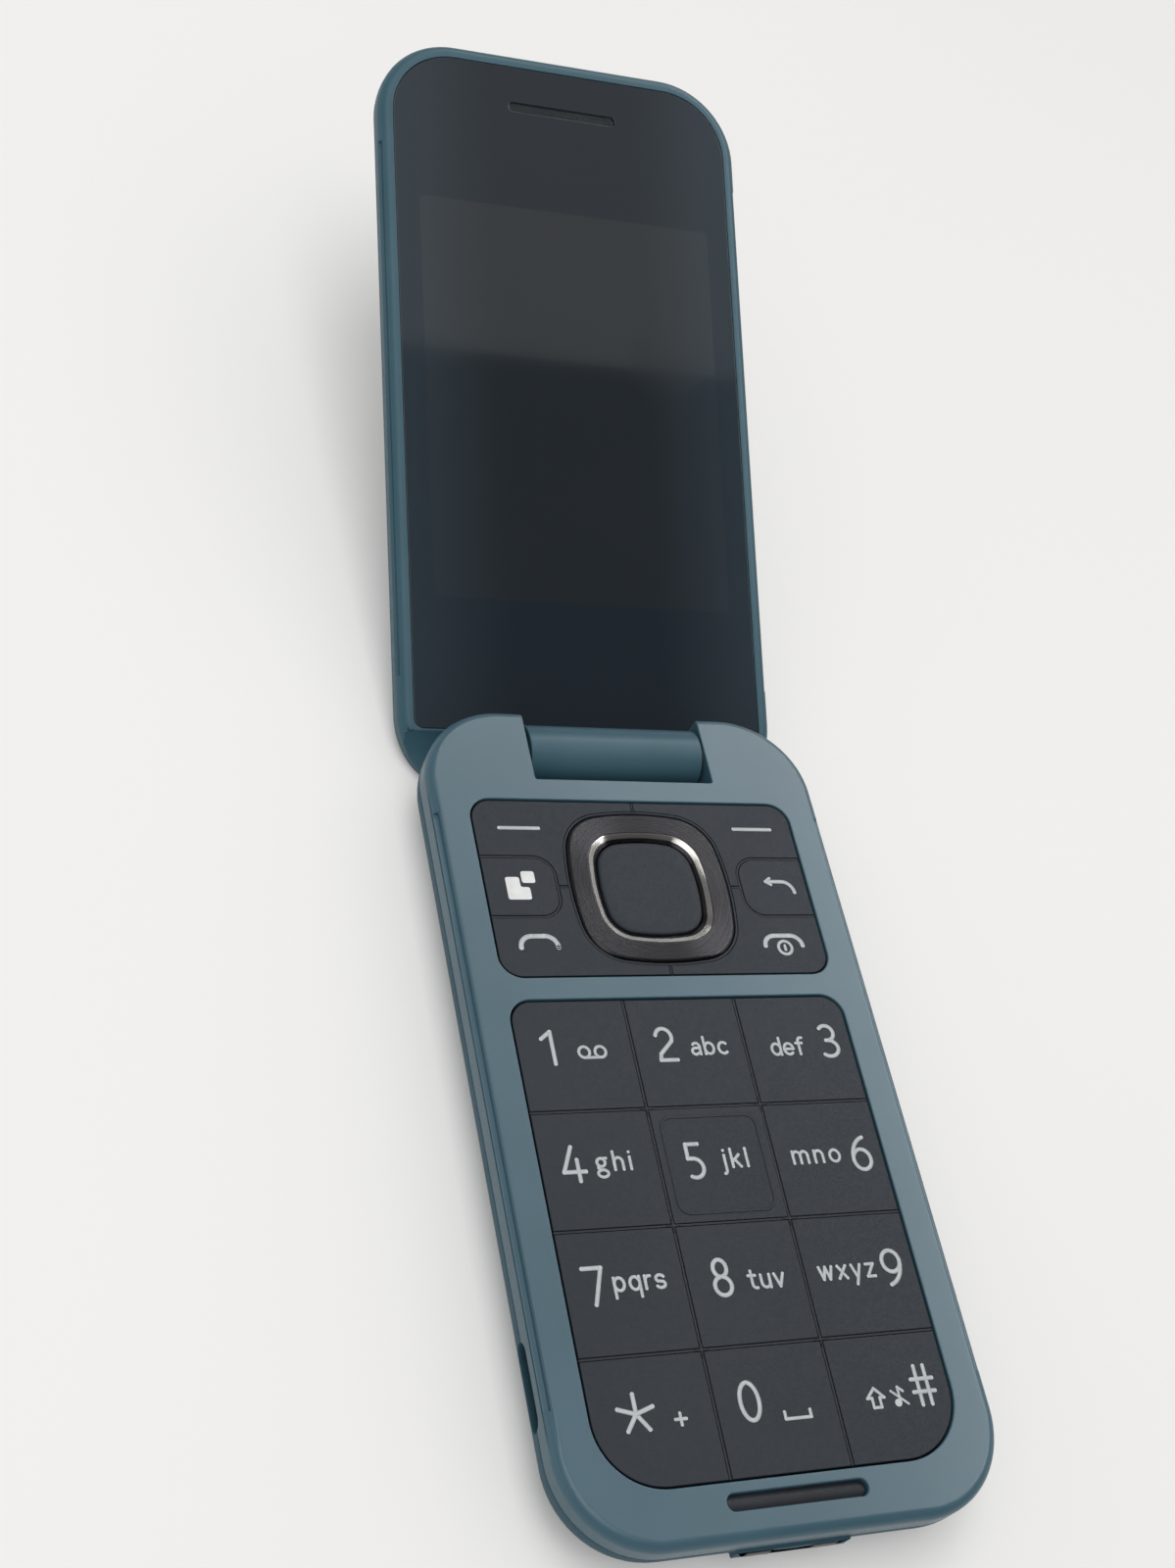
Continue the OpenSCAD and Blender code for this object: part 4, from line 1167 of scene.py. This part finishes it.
def finish_shape(group: Group, parts: Iterable[bpy.types.Node]) -> bpy.types.NodeTree:
    """End a Geometry Nodes group: join its parts, make instances real and set the material.

    Args:
        group: The group, whose input Finish is the material.
        parts: Nodes that put out the parts.

    Returns:
        The group's tree.
    """
    joined = group.add("GeometryNodeJoinGeometry")
    for part in parts:
        group.tree.links.new(part.outputs[0], joined.inputs[0])
    plain = group.add("GeometryNodeRealizeInstances", {"Geometry": joined})
    group.add("NodeGroupOutput", {"Geometry": group.add(
        "GeometryNodeSetMaterial", {"Geometry": plain, "Material": group.source["Finish"]})})
    return group.tree


def printed_line_tree(end_share: float = 0.94, end_sides: int = 20) -> bpy.types.NodeTree:
    """Make the tree that turns drawn edges into flat lines with round ends and corners, once.

    Args:
        end_share: Height of the round ends as a share of the line's.
        end_sides: Sides of a round end.

    Returns:
        The tree.
    """
    name = "printed lines"
    if name in bpy.data.node_groups:
        return bpy.data.node_groups[name]
    group = Group(
        name, "GeometryNodeTree",
        {"Geometry": "NodeSocketGeometry", "Height": "NodeSocketFloat", "Finish": "NodeSocketMaterial"},
        {"Geometry": "NodeSocketGeometry"})
    drawn, height = group.source["Geometry"], group.source["Height"]
    stroke = group.add("GeometryNodeInputNamedAttribute", {"Name": "stroke"}, data_type="FLOAT")
    corner = group.add("GeometryNodeInputNamedAttribute", {"Name": "corner"}, data_type="BOOLEAN")
    path = group.add("GeometryNodeMeshToCurve", {"Mesh": drawn})
    level = group.add("GeometryNodeSetCurveNormal", {"Curve": path}, mode="Z_UP")
    section = group.add("GeometryNodeCurvePrimitiveQuadrilateral", {"Width": 1.0, "Height": height})
    ribbon = group.add("GeometryNodeCurveToMesh", {
        "Curve": level, "Profile Curve": section, "Scale": stroke.outputs["Attribute"], "Fill Caps": True})
    lower = group.math("MULTIPLY", height, end_share)
    dot = group.add("GeometryNodeMeshCylinder", {"Vertices": end_sides, "Radius": 0.5, "Depth": lower})
    ends = group.add("GeometryNodeInstanceOnPoints", {
        "Points": drawn, "Selection": corner.outputs["Attribute"], "Instance": dot,
        "Scale": stroke.outputs["Attribute"]})
    return finish_shape(group, (ends, ribbon))


def gauze_tree(wire_sides: int = 6) -> bpy.types.NodeTree:
    """Make the tree that weaves wavy wires both ways, with an even number of gaps each way, once.

    Args:
        wire_sides: Sides of a wire.

    Returns:
        The tree.
    """
    name = "woven gauze"
    if name in bpy.data.node_groups:
        return bpy.data.node_groups[name]
    sizes = dict.fromkeys(("Width", "Length", "Pitch", "Wire"), "NodeSocketFloat")
    group = Group(
        name, "GeometryNodeTree",
        {"Geometry": "NodeSocketGeometry", **sizes, "Finish": "NodeSocketMaterial"},
        {"Geometry": "NodeSocketGeometry"})
    source, pitch = group.source, group.source["Pitch"]
    half_wire = group.math("MULTIPLY", source["Wire"], 0.5)
    section = group.add("GeometryNodeCurvePrimitiveCircle", {"Resolution": wire_sides, "Radius": half_wire})
    along = group.add("ShaderNodeSeparateXYZ", {0: group.add("GeometryNodeInputPosition")})
    phase = group.math("MULTIPLY", group.math("DIVIDE", along, pitch), math.pi)
    swing = group.math("MULTIPLY", half_wire, group.math("COSINE", phase))
    wave = group.add("ShaderNodeCombineXYZ", {"Z": swing})
    layers = []
    for turn, reach, spread, first in (
            (0.0, "Width", "Length", 0.0), (math.pi / 2, "Length", "Width", 1.0)):
        gaps, rows = (group.math("DIVIDE", source[side], pitch) for side in (reach, spread))
        ends = [group.add("ShaderNodeCombineXYZ", {"X": group.math("MULTIPLY", source[reach], side)})
                for side in (-0.5, 0.5)]
        line = group.add("GeometryNodeCurvePrimitiveLine", {"Start": ends[0], "End": ends[1]})
        points = group.math("ROUND", group.math("ADD", group.math("MULTIPLY", gaps, 2.0), 1.0))
        dense = group.add("GeometryNodeResampleCurve", {"Curve": line, "Count": points})
        bent = group.add("GeometryNodeSetPosition", {"Geometry": dense, "Offset": wave})
        strand = group.add("GeometryNodeCurveToMesh", {
            "Curve": bent, "Profile Curve": section, "Fill Caps": True})
        edge = group.add("ShaderNodeCombineXYZ", {"Y": group.math("MULTIPLY", source[spread], -0.5)})
        step = group.add("ShaderNodeCombineXYZ", {"Y": pitch})
        count = group.math("ROUND", group.math("ADD", rows, 1.0))
        seats = group.add("GeometryNodeMeshLine", {"Count": count, "Start Location": edge, "Offset": step})
        number = group.math("ADD", group.add("GeometryNodeInputIndex"), first)
        over = group.math("MULTIPLY", group.math("MODULO", number, 2.0), math.pi)
        roll = group.add("FunctionNodeEulerToRotation", {0: group.add("ShaderNodeCombineXYZ", {"X": over})})
        laid = group.add("GeometryNodeInstanceOnPoints", {
            "Points": seats, "Instance": strand, "Rotation": roll})
        layers.append(group.add("GeometryNodeTransform", {"Geometry": laid, "Rotation": (0.0, 0.0, turn)}))
    return finish_shape(group, layers)


@dataclass(frozen=True)
class Gauze:
    """Woven wire gauze in a sound opening."""

    name: str
    body: str
    size: Flat
    pitch: float
    wire: float
    finish: Finish = GAUZE

    def build(self, place: Matrix) -> None:
        """Weave the gauze flat, then set it in its opening.

        Args:
            place: Matrix from millimetres about the gauze's middle to metres.
        """
        piece = add_object(self.name, bpy.data.meshes.new(self.name))
        grow(piece, gauze_tree(), {
            "Width": self.size[0], "Length": self.size[1], "Pitch": self.pitch, "Wire": self.wire,
            "Finish": self.finish.material()})
        piece.data.transform(place)
        seat(piece, self.body)


def rounded_outline(corners: Iterable[Flat], radius: float, steps: int = 5) -> list[Flat]:
    """Round the corners of a flat outline.

    Args:
        corners: The outline's corners, counter-clockwise.
        radius: How far each corner is cut back along its sides.
        steps: Points on each rounded corner, less one.

    Returns:
        The rounded outline.
    """
    points = [Vector(corner) for corner in corners]
    outline = []
    for index, corner in enumerate(points):
        before = corner + (points[index - 1] - corner).normalized() * radius
        after = corner + (points[(index + 1) % len(points)] - corner).normalized() * radius
        for step in range(steps + 1):
            share = step / steps
            blend = before.lerp(corner, share).lerp(corner.lerp(after, share), share)
            outline.append((blend.x, blend.y))
    return outline


def star_arms(centre: Flat, reach: float, width: float, arms: int = 5) -> list[Sign]:
    """Draw a star of lines from its middle, with one arm upright.

    Args:
        centre: Its middle.
        reach: Length of an arm.
        width: Line width.
        arms: Number of arms.

    Returns:
        One sign for each arm.
    """
    signs = []
    for arm in range(arms):
        angle = math.radians(90 + 360 // arms * arm)
        tip = (centre[0] + reach * math.cos(angle), centre[1] + reach * math.sin(angle))
        signs.append(([centre, tip], width))
    return signs


DIGIT_LINE = 0.51
LETTER_LINE = 0.38
HASH_LINE = 0.48
SHIFT_LINE = 0.36
CALL_LINE = 0.64
END_LINE = 0.62


@dataclass
class Legends:
    """Printed signs of the keys: numbers and letters, pictograms as strokes and widths, filled tiles.

    Numbers give a sign, its middle and its width; words give letters, their place and their inked width.
    """

    digit_rise: float = 4.25
    letter_rise: float = 1.5
    tile_round: float = 0.35
    faces: dict[str, str] = field(default_factory=lambda: {"key_5": "key_2"})
    numbers: dict[str, tuple[str, Flat, float]] = field(default_factory=lambda: {
        "key_1": ("1", (-18.1, 4.9), 2.3), "key_2": ("2", (-3.15, 4.95), 2.3),
        "key_3": ("3", (19.4, 4.8), 2.35), "key_4": ("4", (-18.35, -10.0), 2.7),
        "key_5": ("5", (-2.9, -10.35), 2.0), "key_6": ("6", (19.5, -10.45), 2.45),
        "key_7": ("7", (-18.85, -24.7), 2.3), "key_8": ("8", (-3.05, -24.75), 2.1),
        "key_9": ("9", (19.4, -25.1), 2.45), "key_0": ("0", (-3.2, -39.15), 2.3)})
    words: dict[str, tuple[str, Flat, float]] = field(default_factory=lambda: {
        "key_2": ("abc", (2.55, 3.5), 5.05), "key_3": ("def", (13.35, 3.1), 4.8),
        "key_4": ("ghi", (-13.35, -10.95), 4.65), "key_5": ("jkl", (2.3, -11.35), 3.6),
        "key_6": ("mno", (13.3, -11.35), 6.7), "key_7": ("pqrs", (-13.3, -25.4), 6.6),
        "key_8": ("tuv", (2.55, -26.3), 4.85), "key_9": ("wxyz", (13.25, -25.95), 7.65)})
    signs: dict[str, list[Sign]] = field(default_factory=lambda: {
        # two joined loops for voice messages, and an open bracket for a space
        "key_1": [([(-14.05, 4.2, 0.7, 0.72, 90, 450)], LETTER_LINE),
                  ([(-11.95, 4.2, 0.7, 0.72, 90, 450)], LETTER_LINE),
                  ([(-14.05, 3.48), (-11.95, 3.48)], LETTER_LINE)],
        "key_0": [([(0.75, -40.7), (0.75, -41.5), (3.95, -41.5), (3.95, -40.7)], LETTER_LINE)],
        # star and plus
        "key_star": [*star_arms((-17.05, -39.3), 2.2, DIGIT_LINE),
                     ([(-12.55, -40.3), (-11.25, -40.3)], LETTER_LINE),
                     ([(-11.9, -39.65), (-11.9, -40.95)], LETTER_LINE)],
        # hash, shift arrow, and a note that is struck out
        "key_hash": [([(18.48, -41.5), (18.48, -37.0)], HASH_LINE),
                     ([(17.7, -39.994), (20.5, -39.994)], HASH_LINE),
                     ([(19.72, -41.5), (19.72, -37.0)], HASH_LINE),
                     ([(17.7, -38.506), (20.5, -38.506)], HASH_LINE),
                     ([(11.5, -40.2), (12.6, -39.1), (13.7, -40.2), (13.1, -40.2), (13.1, -41.3),
                       (12.1, -41.3), (12.1, -40.2), (11.5, -40.2)], SHIFT_LINE),
                     ([(15.35, -41.0)], 0.9),
                     ([(15.65, -41.0), (15.65, -39.2), (16.25, -39.7)], 0.34),
                     ([(14.7, -39.6), (16.6, -41.2)], 0.3)],
        "soft_key_left": [([(-19.1, 35.8), (-13.8, 35.8)], DIGIT_LINE)],
        "soft_key_right": [([(14.0, 36.1), (19.4, 36.1)], DIGIT_LINE)],
        "shortcut_key": [],
        # arrow that bends back to the left
        "back_key": [([(16.7, 28.05), (18.9, 28.05), (18.9, 26.45, 1.6, 1.6, 90, 0)], 0.52),
                     ([(17.3, 28.55), (16.6, 28.05), (17.3, 27.6)], 0.42)],
        # receiver lifted off, and receiver laid down with a small switch sign
        "call_key": [([(-19.35, 18.5), (-17.75, 18.6, 1.6, 1.5, 180, 90), (-16.05, 18.6, 1.6, 1.5, 90, 0),
                       (-14.45, 18.5)], CALL_LINE)],
        "end_key": [([(14.15, 18.5), (15.7, 18.5, 1.55, 1.45, 180, 90), (17.95, 18.5, 1.55, 1.45, 90, 0),
                      (19.5, 18.5)], END_LINE),
                    ([(16.9, 18.2, 0.95, 0.95, 90, 450)], 0.42), ([(16.9, 18.5), (16.9, 17.9)], 0.38)]})
    tiles: dict[str, list[list[Flat]]] = field(default_factory=lambda: {
        "shortcut_key": [
            [(-19.7, 28.55), (-19.7, 25.3), (-16.6, 25.3), (-16.6, 27.1), (-17.8, 27.1), (-17.8, 28.55)],
            [(-17.5, 29.4), (-17.5, 27.7), (-15.7, 27.7), (-15.7, 29.4)]]})

    def build(self) -> None:
        """Print every key."""
        for body in dict.fromkeys((*self.numbers, *self.signs)):
            tiles = self.tiles.get(body, [])
            plate = PrintPlate(body, self.faces.get(body, body), WHITE_INK if tiles else INK)
            if body in self.numbers:
                sign, centre, width = self.numbers[body]
                plate.digit(sign, centre, (width, self.digit_rise), DIGIT_LINE)
            if body in self.words:
                text, place, inked = self.words[body]
                plate.word(text, place, inked, self.letter_rise, LETTER_LINE)
            for stroke, width in self.signs.get(body, []):
                plate.line(stroke, width)
            plate.blocks += [rounded_outline(tile, self.tile_round) for tile in tiles]
            plate.build()


@dataclass
class BaseCase:
    """Keypad half of the phone: shells, side keys, grille bar, socket and contacts."""

    edge: float = 0.16
    side_key_edge: float = 0.22
    side_key_segments: int = 4
    grille_round: float = 0.18
    contact_edge: float = 0.12
    socket_edge: float = 0.06
    socket_segments: int = 2
    gauze: Gauze = Gauze("loudspeaker_gauze", "base", (12.0, 8.0), 0.5, 0.12)
    gauze_place: Place = (0.0, -37.5, 1.25)

    def build(self) -> None:
        """Ease the shells, dress what shows on them and paint the pieces inside."""
        shells = {
            "base_front_housing": SHELL, "base_rear_housing": BACK_SHELL, "battery_cover": BACK_SHELL}
        for node, finish in shells.items():
            Eased(node, Slot.SHELL, finish, self.edge).build()
        for node in ("volume_rocker", "side_button"):
            Eased(node, Slot.SHELL, SHELL, self.side_key_edge, self.side_key_segments).build()
        Eased("mic_grille", Slot.GRILLE, SEAL, self.grille_round).build()
        Eased("cradle_contacts", Slot.CONTACT, PLATED, self.contact_edge).build()
        Eased("usb_socket", Slot.STEEL, STEEL, self.socket_edge, self.socket_segments).build()
        self.gauze.build(Matrix.Scale(MM, 4) @ Matrix.Translation(self.gauze_place))
        paint({
            "battery": FOIL, "main_board": BOARD, "dome_switches": STEEL, "microphone": STEEL,
            "loudspeaker": BLACK_CASE, "vibration_motor": STEEL, "card_holder": STEEL,
            "base_screws": STEEL, "hinge_shaft": STEEL, "hinge_bush": STEEL})


@dataclass
class KeyField:
    """Number keys, the keys beside the ring and their print."""

    edge: float = 0.1
    fine_edge: float = 0.05
    segments: int = 2
    mat_edge: float = 0.03
    mat_segments: int = 1
    fine: tuple[str, ...] = ("key_5", "soft_key_left", "soft_key_right", "call_key", "end_key")
    nodes: tuple[str, ...] = (
        *(f"key_{number}" for number in range(1, 10)), "key_star", "key_0", "key_hash", "soft_key_left",
        "soft_key_right", "shortcut_key", "back_key", "call_key", "end_key")
    legends: Legends = field(default_factory=Legends)

    def build(self) -> None:
        """Ease the mat and every cap, then print the caps."""
        RibbedMat("key_mat", Slot.RUBBER, SEAM_FILM, self.mat_edge, self.mat_segments).build()
        for node in self.nodes:
            width = self.fine_edge if node in self.fine else self.edge
            Eased(node, Slot.KEY_CAP, KEY_FILM, width, self.segments).build()
        self.legends.build()


@dataclass
class NavCluster:
    """Four-way ring, the lip round it and the centre key inside it.

    Shoulders and edges are rows of an inset from a width and a drop from a top.
    """

    ring_w: float = 22.0
    ring_in: float = 15.9
    ring_low: float = 9.85
    ring_top: float = 11.25
    ring_foot: Flat = (0.5, 0.25)
    ring_shoulder: tuple[Flat, ...] = ((0.0, 0.5), (0.16, 0.2), (0.5, 0.05), (0.9, 0.0), (1.1, 0.0))
    ring_rim: tuple[Flat, ...] = ((-0.7, 0.0), (-0.4, 0.0), (-0.25, 0.02), (0.0, 0.08))
    throat: float = 14.05
    throat_slope: tuple[Flat, ...] = ((-0.85, 0.32), (0.0, 0.6))
    bright_rows: tuple[int, ...] = (10, 11)
    gasket: Flat = (22.12, 22.7)
    gasket_low: float = 8.8
    gasket_top: float = 11.12
    gasket_round: Flat = (0.08, 0.06)
    select_w: float = 13.6
    select_low: float = 9.6
    select_top: float = 10.95
    select_foot: Flat = (0.3, 0.15)
    select_edge: tuple[Flat, ...] = (
        (0.0, 0.3), (0.1, 0.12), (0.35, 0.03), (0.8, 0.0), (4.0, 0.03), (9.0, 0.05))
    select_mid: Flat = (0.4, 0.055)

    @staticmethod
    def rings(profile: Iterable[Flat]) -> list[list[Vector]]:
        """Carry a profile of widths and heights around the squircle."""
        return [[Vector((x, y + NAV_Y, height)) * MM for x, y in squircle(width)]
                for width, height in profile]

    def build(self) -> None:
        """Make ring, lip and centre key."""
        self.ring()
        self.ring_gasket()
        self.select()
        paint({"nav_gimbal": BLACK_CASE})

    def ring(self) -> None:
        """Loft the ring: spun flat top, and a bright cut edge that slopes down to the centre key."""
        inset, rise = self.ring_foot
        profile = [(self.throat, self.ring_low), (self.ring_w - inset, self.ring_low),
                   (self.ring_w, self.ring_low + rise)]
        for width, rows in ((self.ring_w, self.ring_shoulder), (self.ring_in, self.ring_rim),
                            (self.throat, self.throat_slope)):
            profile += [(width - inset, self.ring_top - drop) for inset, drop in rows]
        piece = loft("four_way_ring", self.rings(profile), closed=True)
        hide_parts("nav_ring")
        seat(piece, "nav_ring", RING_METAL)
        piece.data.materials.append(RING_EDGE.material())
        around = len(piece.data.polygons) // len(profile)
        for face in piece.data.polygons:
            face.material_index = int(face.index // around in self.bright_rows)

    def ring_gasket(self) -> None:
        """Stand a thin rubber lip on the mat, in the gap round the ring."""
        inner, outer = self.gasket
        low, top = self.gasket_low, self.gasket_top
        across, down = self.gasket_round
        profile = [(inner, low), (outer, low), (outer, top - down), (outer - across, top),
                   (inner + across, top), (inner, top - down)]
        piece = loft("ring_gasket", self.rings(profile), closed=True)
        seat(piece, carried_by("key_mat"), KEY_FILM)

    def select(self) -> None:
        """Loft the centre key with a soft edge and a faint dish."""
        inset, rise = self.select_foot
        profile = [(self.select_w - inset, self.select_low), (self.select_w, self.select_low + rise)]
        profile += [(self.select_w - inset, self.select_top - drop) for inset, drop in self.select_edge]
        profile.append((self.select_mid[0], self.select_top - self.select_mid[1]))
        piece = loft("centre_key", self.rings(profile), closed=False)
        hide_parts("select_key")
        seat(piece, "select_key", KEY_FILM)


@dataclass
class Lid:
    """Display half of the phone: shells, windows, earpiece and camera."""

    edge: float = 0.1
    bezel_edge: float = 0.12
    lens_edge: float = 0.15
    flash_edge: float = 0.12
    gauze: Gauze = Gauze("earpiece_gauze", "lid", (15.6, 1.2), 0.3, 0.09, EAR_GAUZE)
    gauze_place: Place = (0.0, 95.2, -4.5)

    def build(self) -> None:
        """Ease the shells and windows, dress what shows on them and paint the pieces inside."""
        for node in ("lid_inner_housing", "lid_outer_cover"):
            Eased(node, Slot.SHELL, LID_SHELL, self.edge).build()
        Eased("display_window", Slot.WINDOW, DISPLAY_GLASS, self.edge).build()
        Eased("outer_window", Slot.WINDOW, OUTER_GLASS, self.edge).build()
        Eased("camera_bezel", Slot.RING_METAL, BEZEL_METAL, self.bezel_edge).build()
        Eased("camera_lens", Slot.LENS, LENS, self.lens_edge).build()
        Eased("flash_lens", Slot.DIFFUSER, FLASH_LENS, self.flash_edge).build()
        self.gauze.build(LID_FRAME.matrix() @ Matrix.Translation(self.gauze_place))
        paint({
            "earpiece_grille": EAR_GAUZE, "display_panel": LCD, "outer_display": LCD, "lid_board": BOARD,
            "camera_module": BLACK_CASE, "earpiece": BLACK_CASE, "lid_magnet": STEEL, "hinge_unit": STEEL,
            "hinge_flex": FILM})


@dataclass
class AreaLamp:
    """One soft lamp panel that shines straight down, in metres and watts."""

    name: str
    place: Place
    size: Flat
    power: float
    gleam_only: bool = False

    def build(self) -> None:
        """Hang the lamp; a gleam shows in gloss and casts no shadow."""
        data = bpy.data.lights.new(self.name, "AREA")
        data.shape = "RECTANGLE"
        data.size, data.size_y = self.size
        data.energy = self.power
        lamp = add_object(self.name, data)
        lamp.location = self.place
        lamp.visible_diffuse = not self.gleam_only


@dataclass
class Studio:
    """Pale floor, dim surround, soft lamp panels and the camera; floor and lamps are in metres."""

    camera_place: Place = (-112.292, -98.755, 223.666)
    camera_turn: Place = (35.43063981, -19.53044768, -11.86948583)
    lens: float = 65.0
    sensor: float = 36.0
    nearest: float = 0.01
    floor_half: float = 20.0
    floor_tone: Tone = (244, 243, 241)
    floor_shade: Tone = (240, 239, 237)
    floor_scales: Flat = (700.0, 3.0)
    floor_roughness: Flat = (0.75, 0.85)
    floor_gloss: float = 0.2
    far_floor: Flat = (0.7, 1.6)
    floor_glow: float = 0.2
    ambient: float = 0.56
    zenith: float = 0.27
    horizon: float = 0.82
    sky_band: Flat = (0.2, 0.55)
    front: float = 0.2
    front_band: Flat = (-0.5, -0.12)
    lamps: tuple[AreaLamp, ...] = (
        AreaLamp("top_panel", (-0.15, 0.05, 1.0), (0.5, 0.9), 5.0),
        AreaLamp("right_panel", (0.84, 0.55, 1.0), (0.3, 1.2), 14.6, gleam_only=True),
        AreaLamp("back_panel", (0.45, 0.95, 1.0), (0.6, 0.3), 5.2, gleam_only=True),
        AreaLamp("band_panel", (0.35, 0.55, 1.0), (0.3, 0.9), 0.4, gleam_only=True))

    def build(self) -> None:
        """Set up floor, surround, lamps and camera."""
        self.floor()
        self.surround()
        for lamp in self.lamps:
            lamp.build()
        self.camera()
        bpy.context.scene.view_settings.view_transform = "Standard"

    def camera(self) -> None:
        """Place the camera at the photograph's viewpoint."""
        data = bpy.data.cameras.new("viewpoint")
        data.lens = self.lens
        data.sensor_fit = "HORIZONTAL"
        data.sensor_width = self.sensor
        data.clip_start = self.nearest
        camera = add_object("viewpoint", data)
        camera.location = Vector(self.camera_place) * MM
        camera.rotation_euler = Euler([math.radians(angle) for angle in self.camera_turn], "XYZ")
        bpy.context.scene.camera = camera

    def floor(self) -> None:
        """Lay the floor: softly lit near the phone, with its shadow, and an even pale tone far away."""
        half = self.floor_half
        mesh = bpy.data.meshes.new("floor")
        corners = [(x * half, y * half, 0.0) for x, y in ((-1, -1), (1, -1), (1, 1), (-1, 1))]
        mesh.from_pydata(corners, [], [(0, 1, 2, 3)])
        material = bpy.data.materials.new("pale floor")
        surface = Surface(material)
        grain = surface.grain(*self.floor_scales)
        surface.cover({
            "Base Color": surface.mix(grain["Blotch"], self.floor_tone, self.floor_shade),
            "Roughness": surface.remap(grain["Grain"], 0.0, 1.0, *self.floor_roughness),
            "Specular IOR Level": self.floor_gloss})
        away = surface.add("ShaderNodeVectorMath", {0: surface.coords}, operation="LENGTH").outputs["Value"]
        far = surface.remap(away, *self.far_floor, self.floor_glow, 1.0)
        glow = surface.add("ShaderNodeEmission", {"Color": linear(self.floor_tone), "Strength": 1.0})
        share = surface.math("MULTIPLY", far, surface.seen())
        blend = surface.add("ShaderNodeMixShader", {0: share, 1: surface.shader, 2: glow})
        surface.fill(surface.tree.nodes["Material Output"].inputs["Surface"], blend)
        mesh.materials.append(material)
        floor = add_object("floor", mesh)

    def surround(self) -> None:
        """Light the world dimly; the rays that show it see a pale horizon and a darker front."""
        world = bpy.data.worlds.new("studio")
        world.use_nodes = True
        graph = Graph(world.node_tree)
        background = world.node_tree.nodes["Background"]
        direction = graph.add("ShaderNodeTexCoord").outputs["Generated"]
        axes = graph.add("ShaderNodeSeparateXYZ", {0: direction}).outputs
        shade = graph.remap(axes[1], *self.front_band, self.front, 1.0)
        height = graph.remap(axes[2], *self.sky_band, self.horizon, self.zenith)
        seen = graph.seen()
        sky = graph.math("MULTIPLY", graph.math("MULTIPLY", height, shade), seen)
        unseen = graph.math("MULTIPLY", self.ambient, graph.math("SUBTRACT", 1.0, seen))
        graph.fill(background.inputs["Strength"], graph.math("ADD", sky, unseen))
        background.inputs["Color"].default_value = (1.0, 1.0, 1.0, 1.0)
        bpy.context.scene.world = world


def main() -> None:
    """Build the phone and its studio, and report each piece."""
    logging.basicConfig(level=logging.INFO, format="%(message)s")
    Studio().build()
    BaseCase().build()
    KeyField().build()
    NavCluster().build()
    Lid().build()


if __name__ == "__main__":
    main()
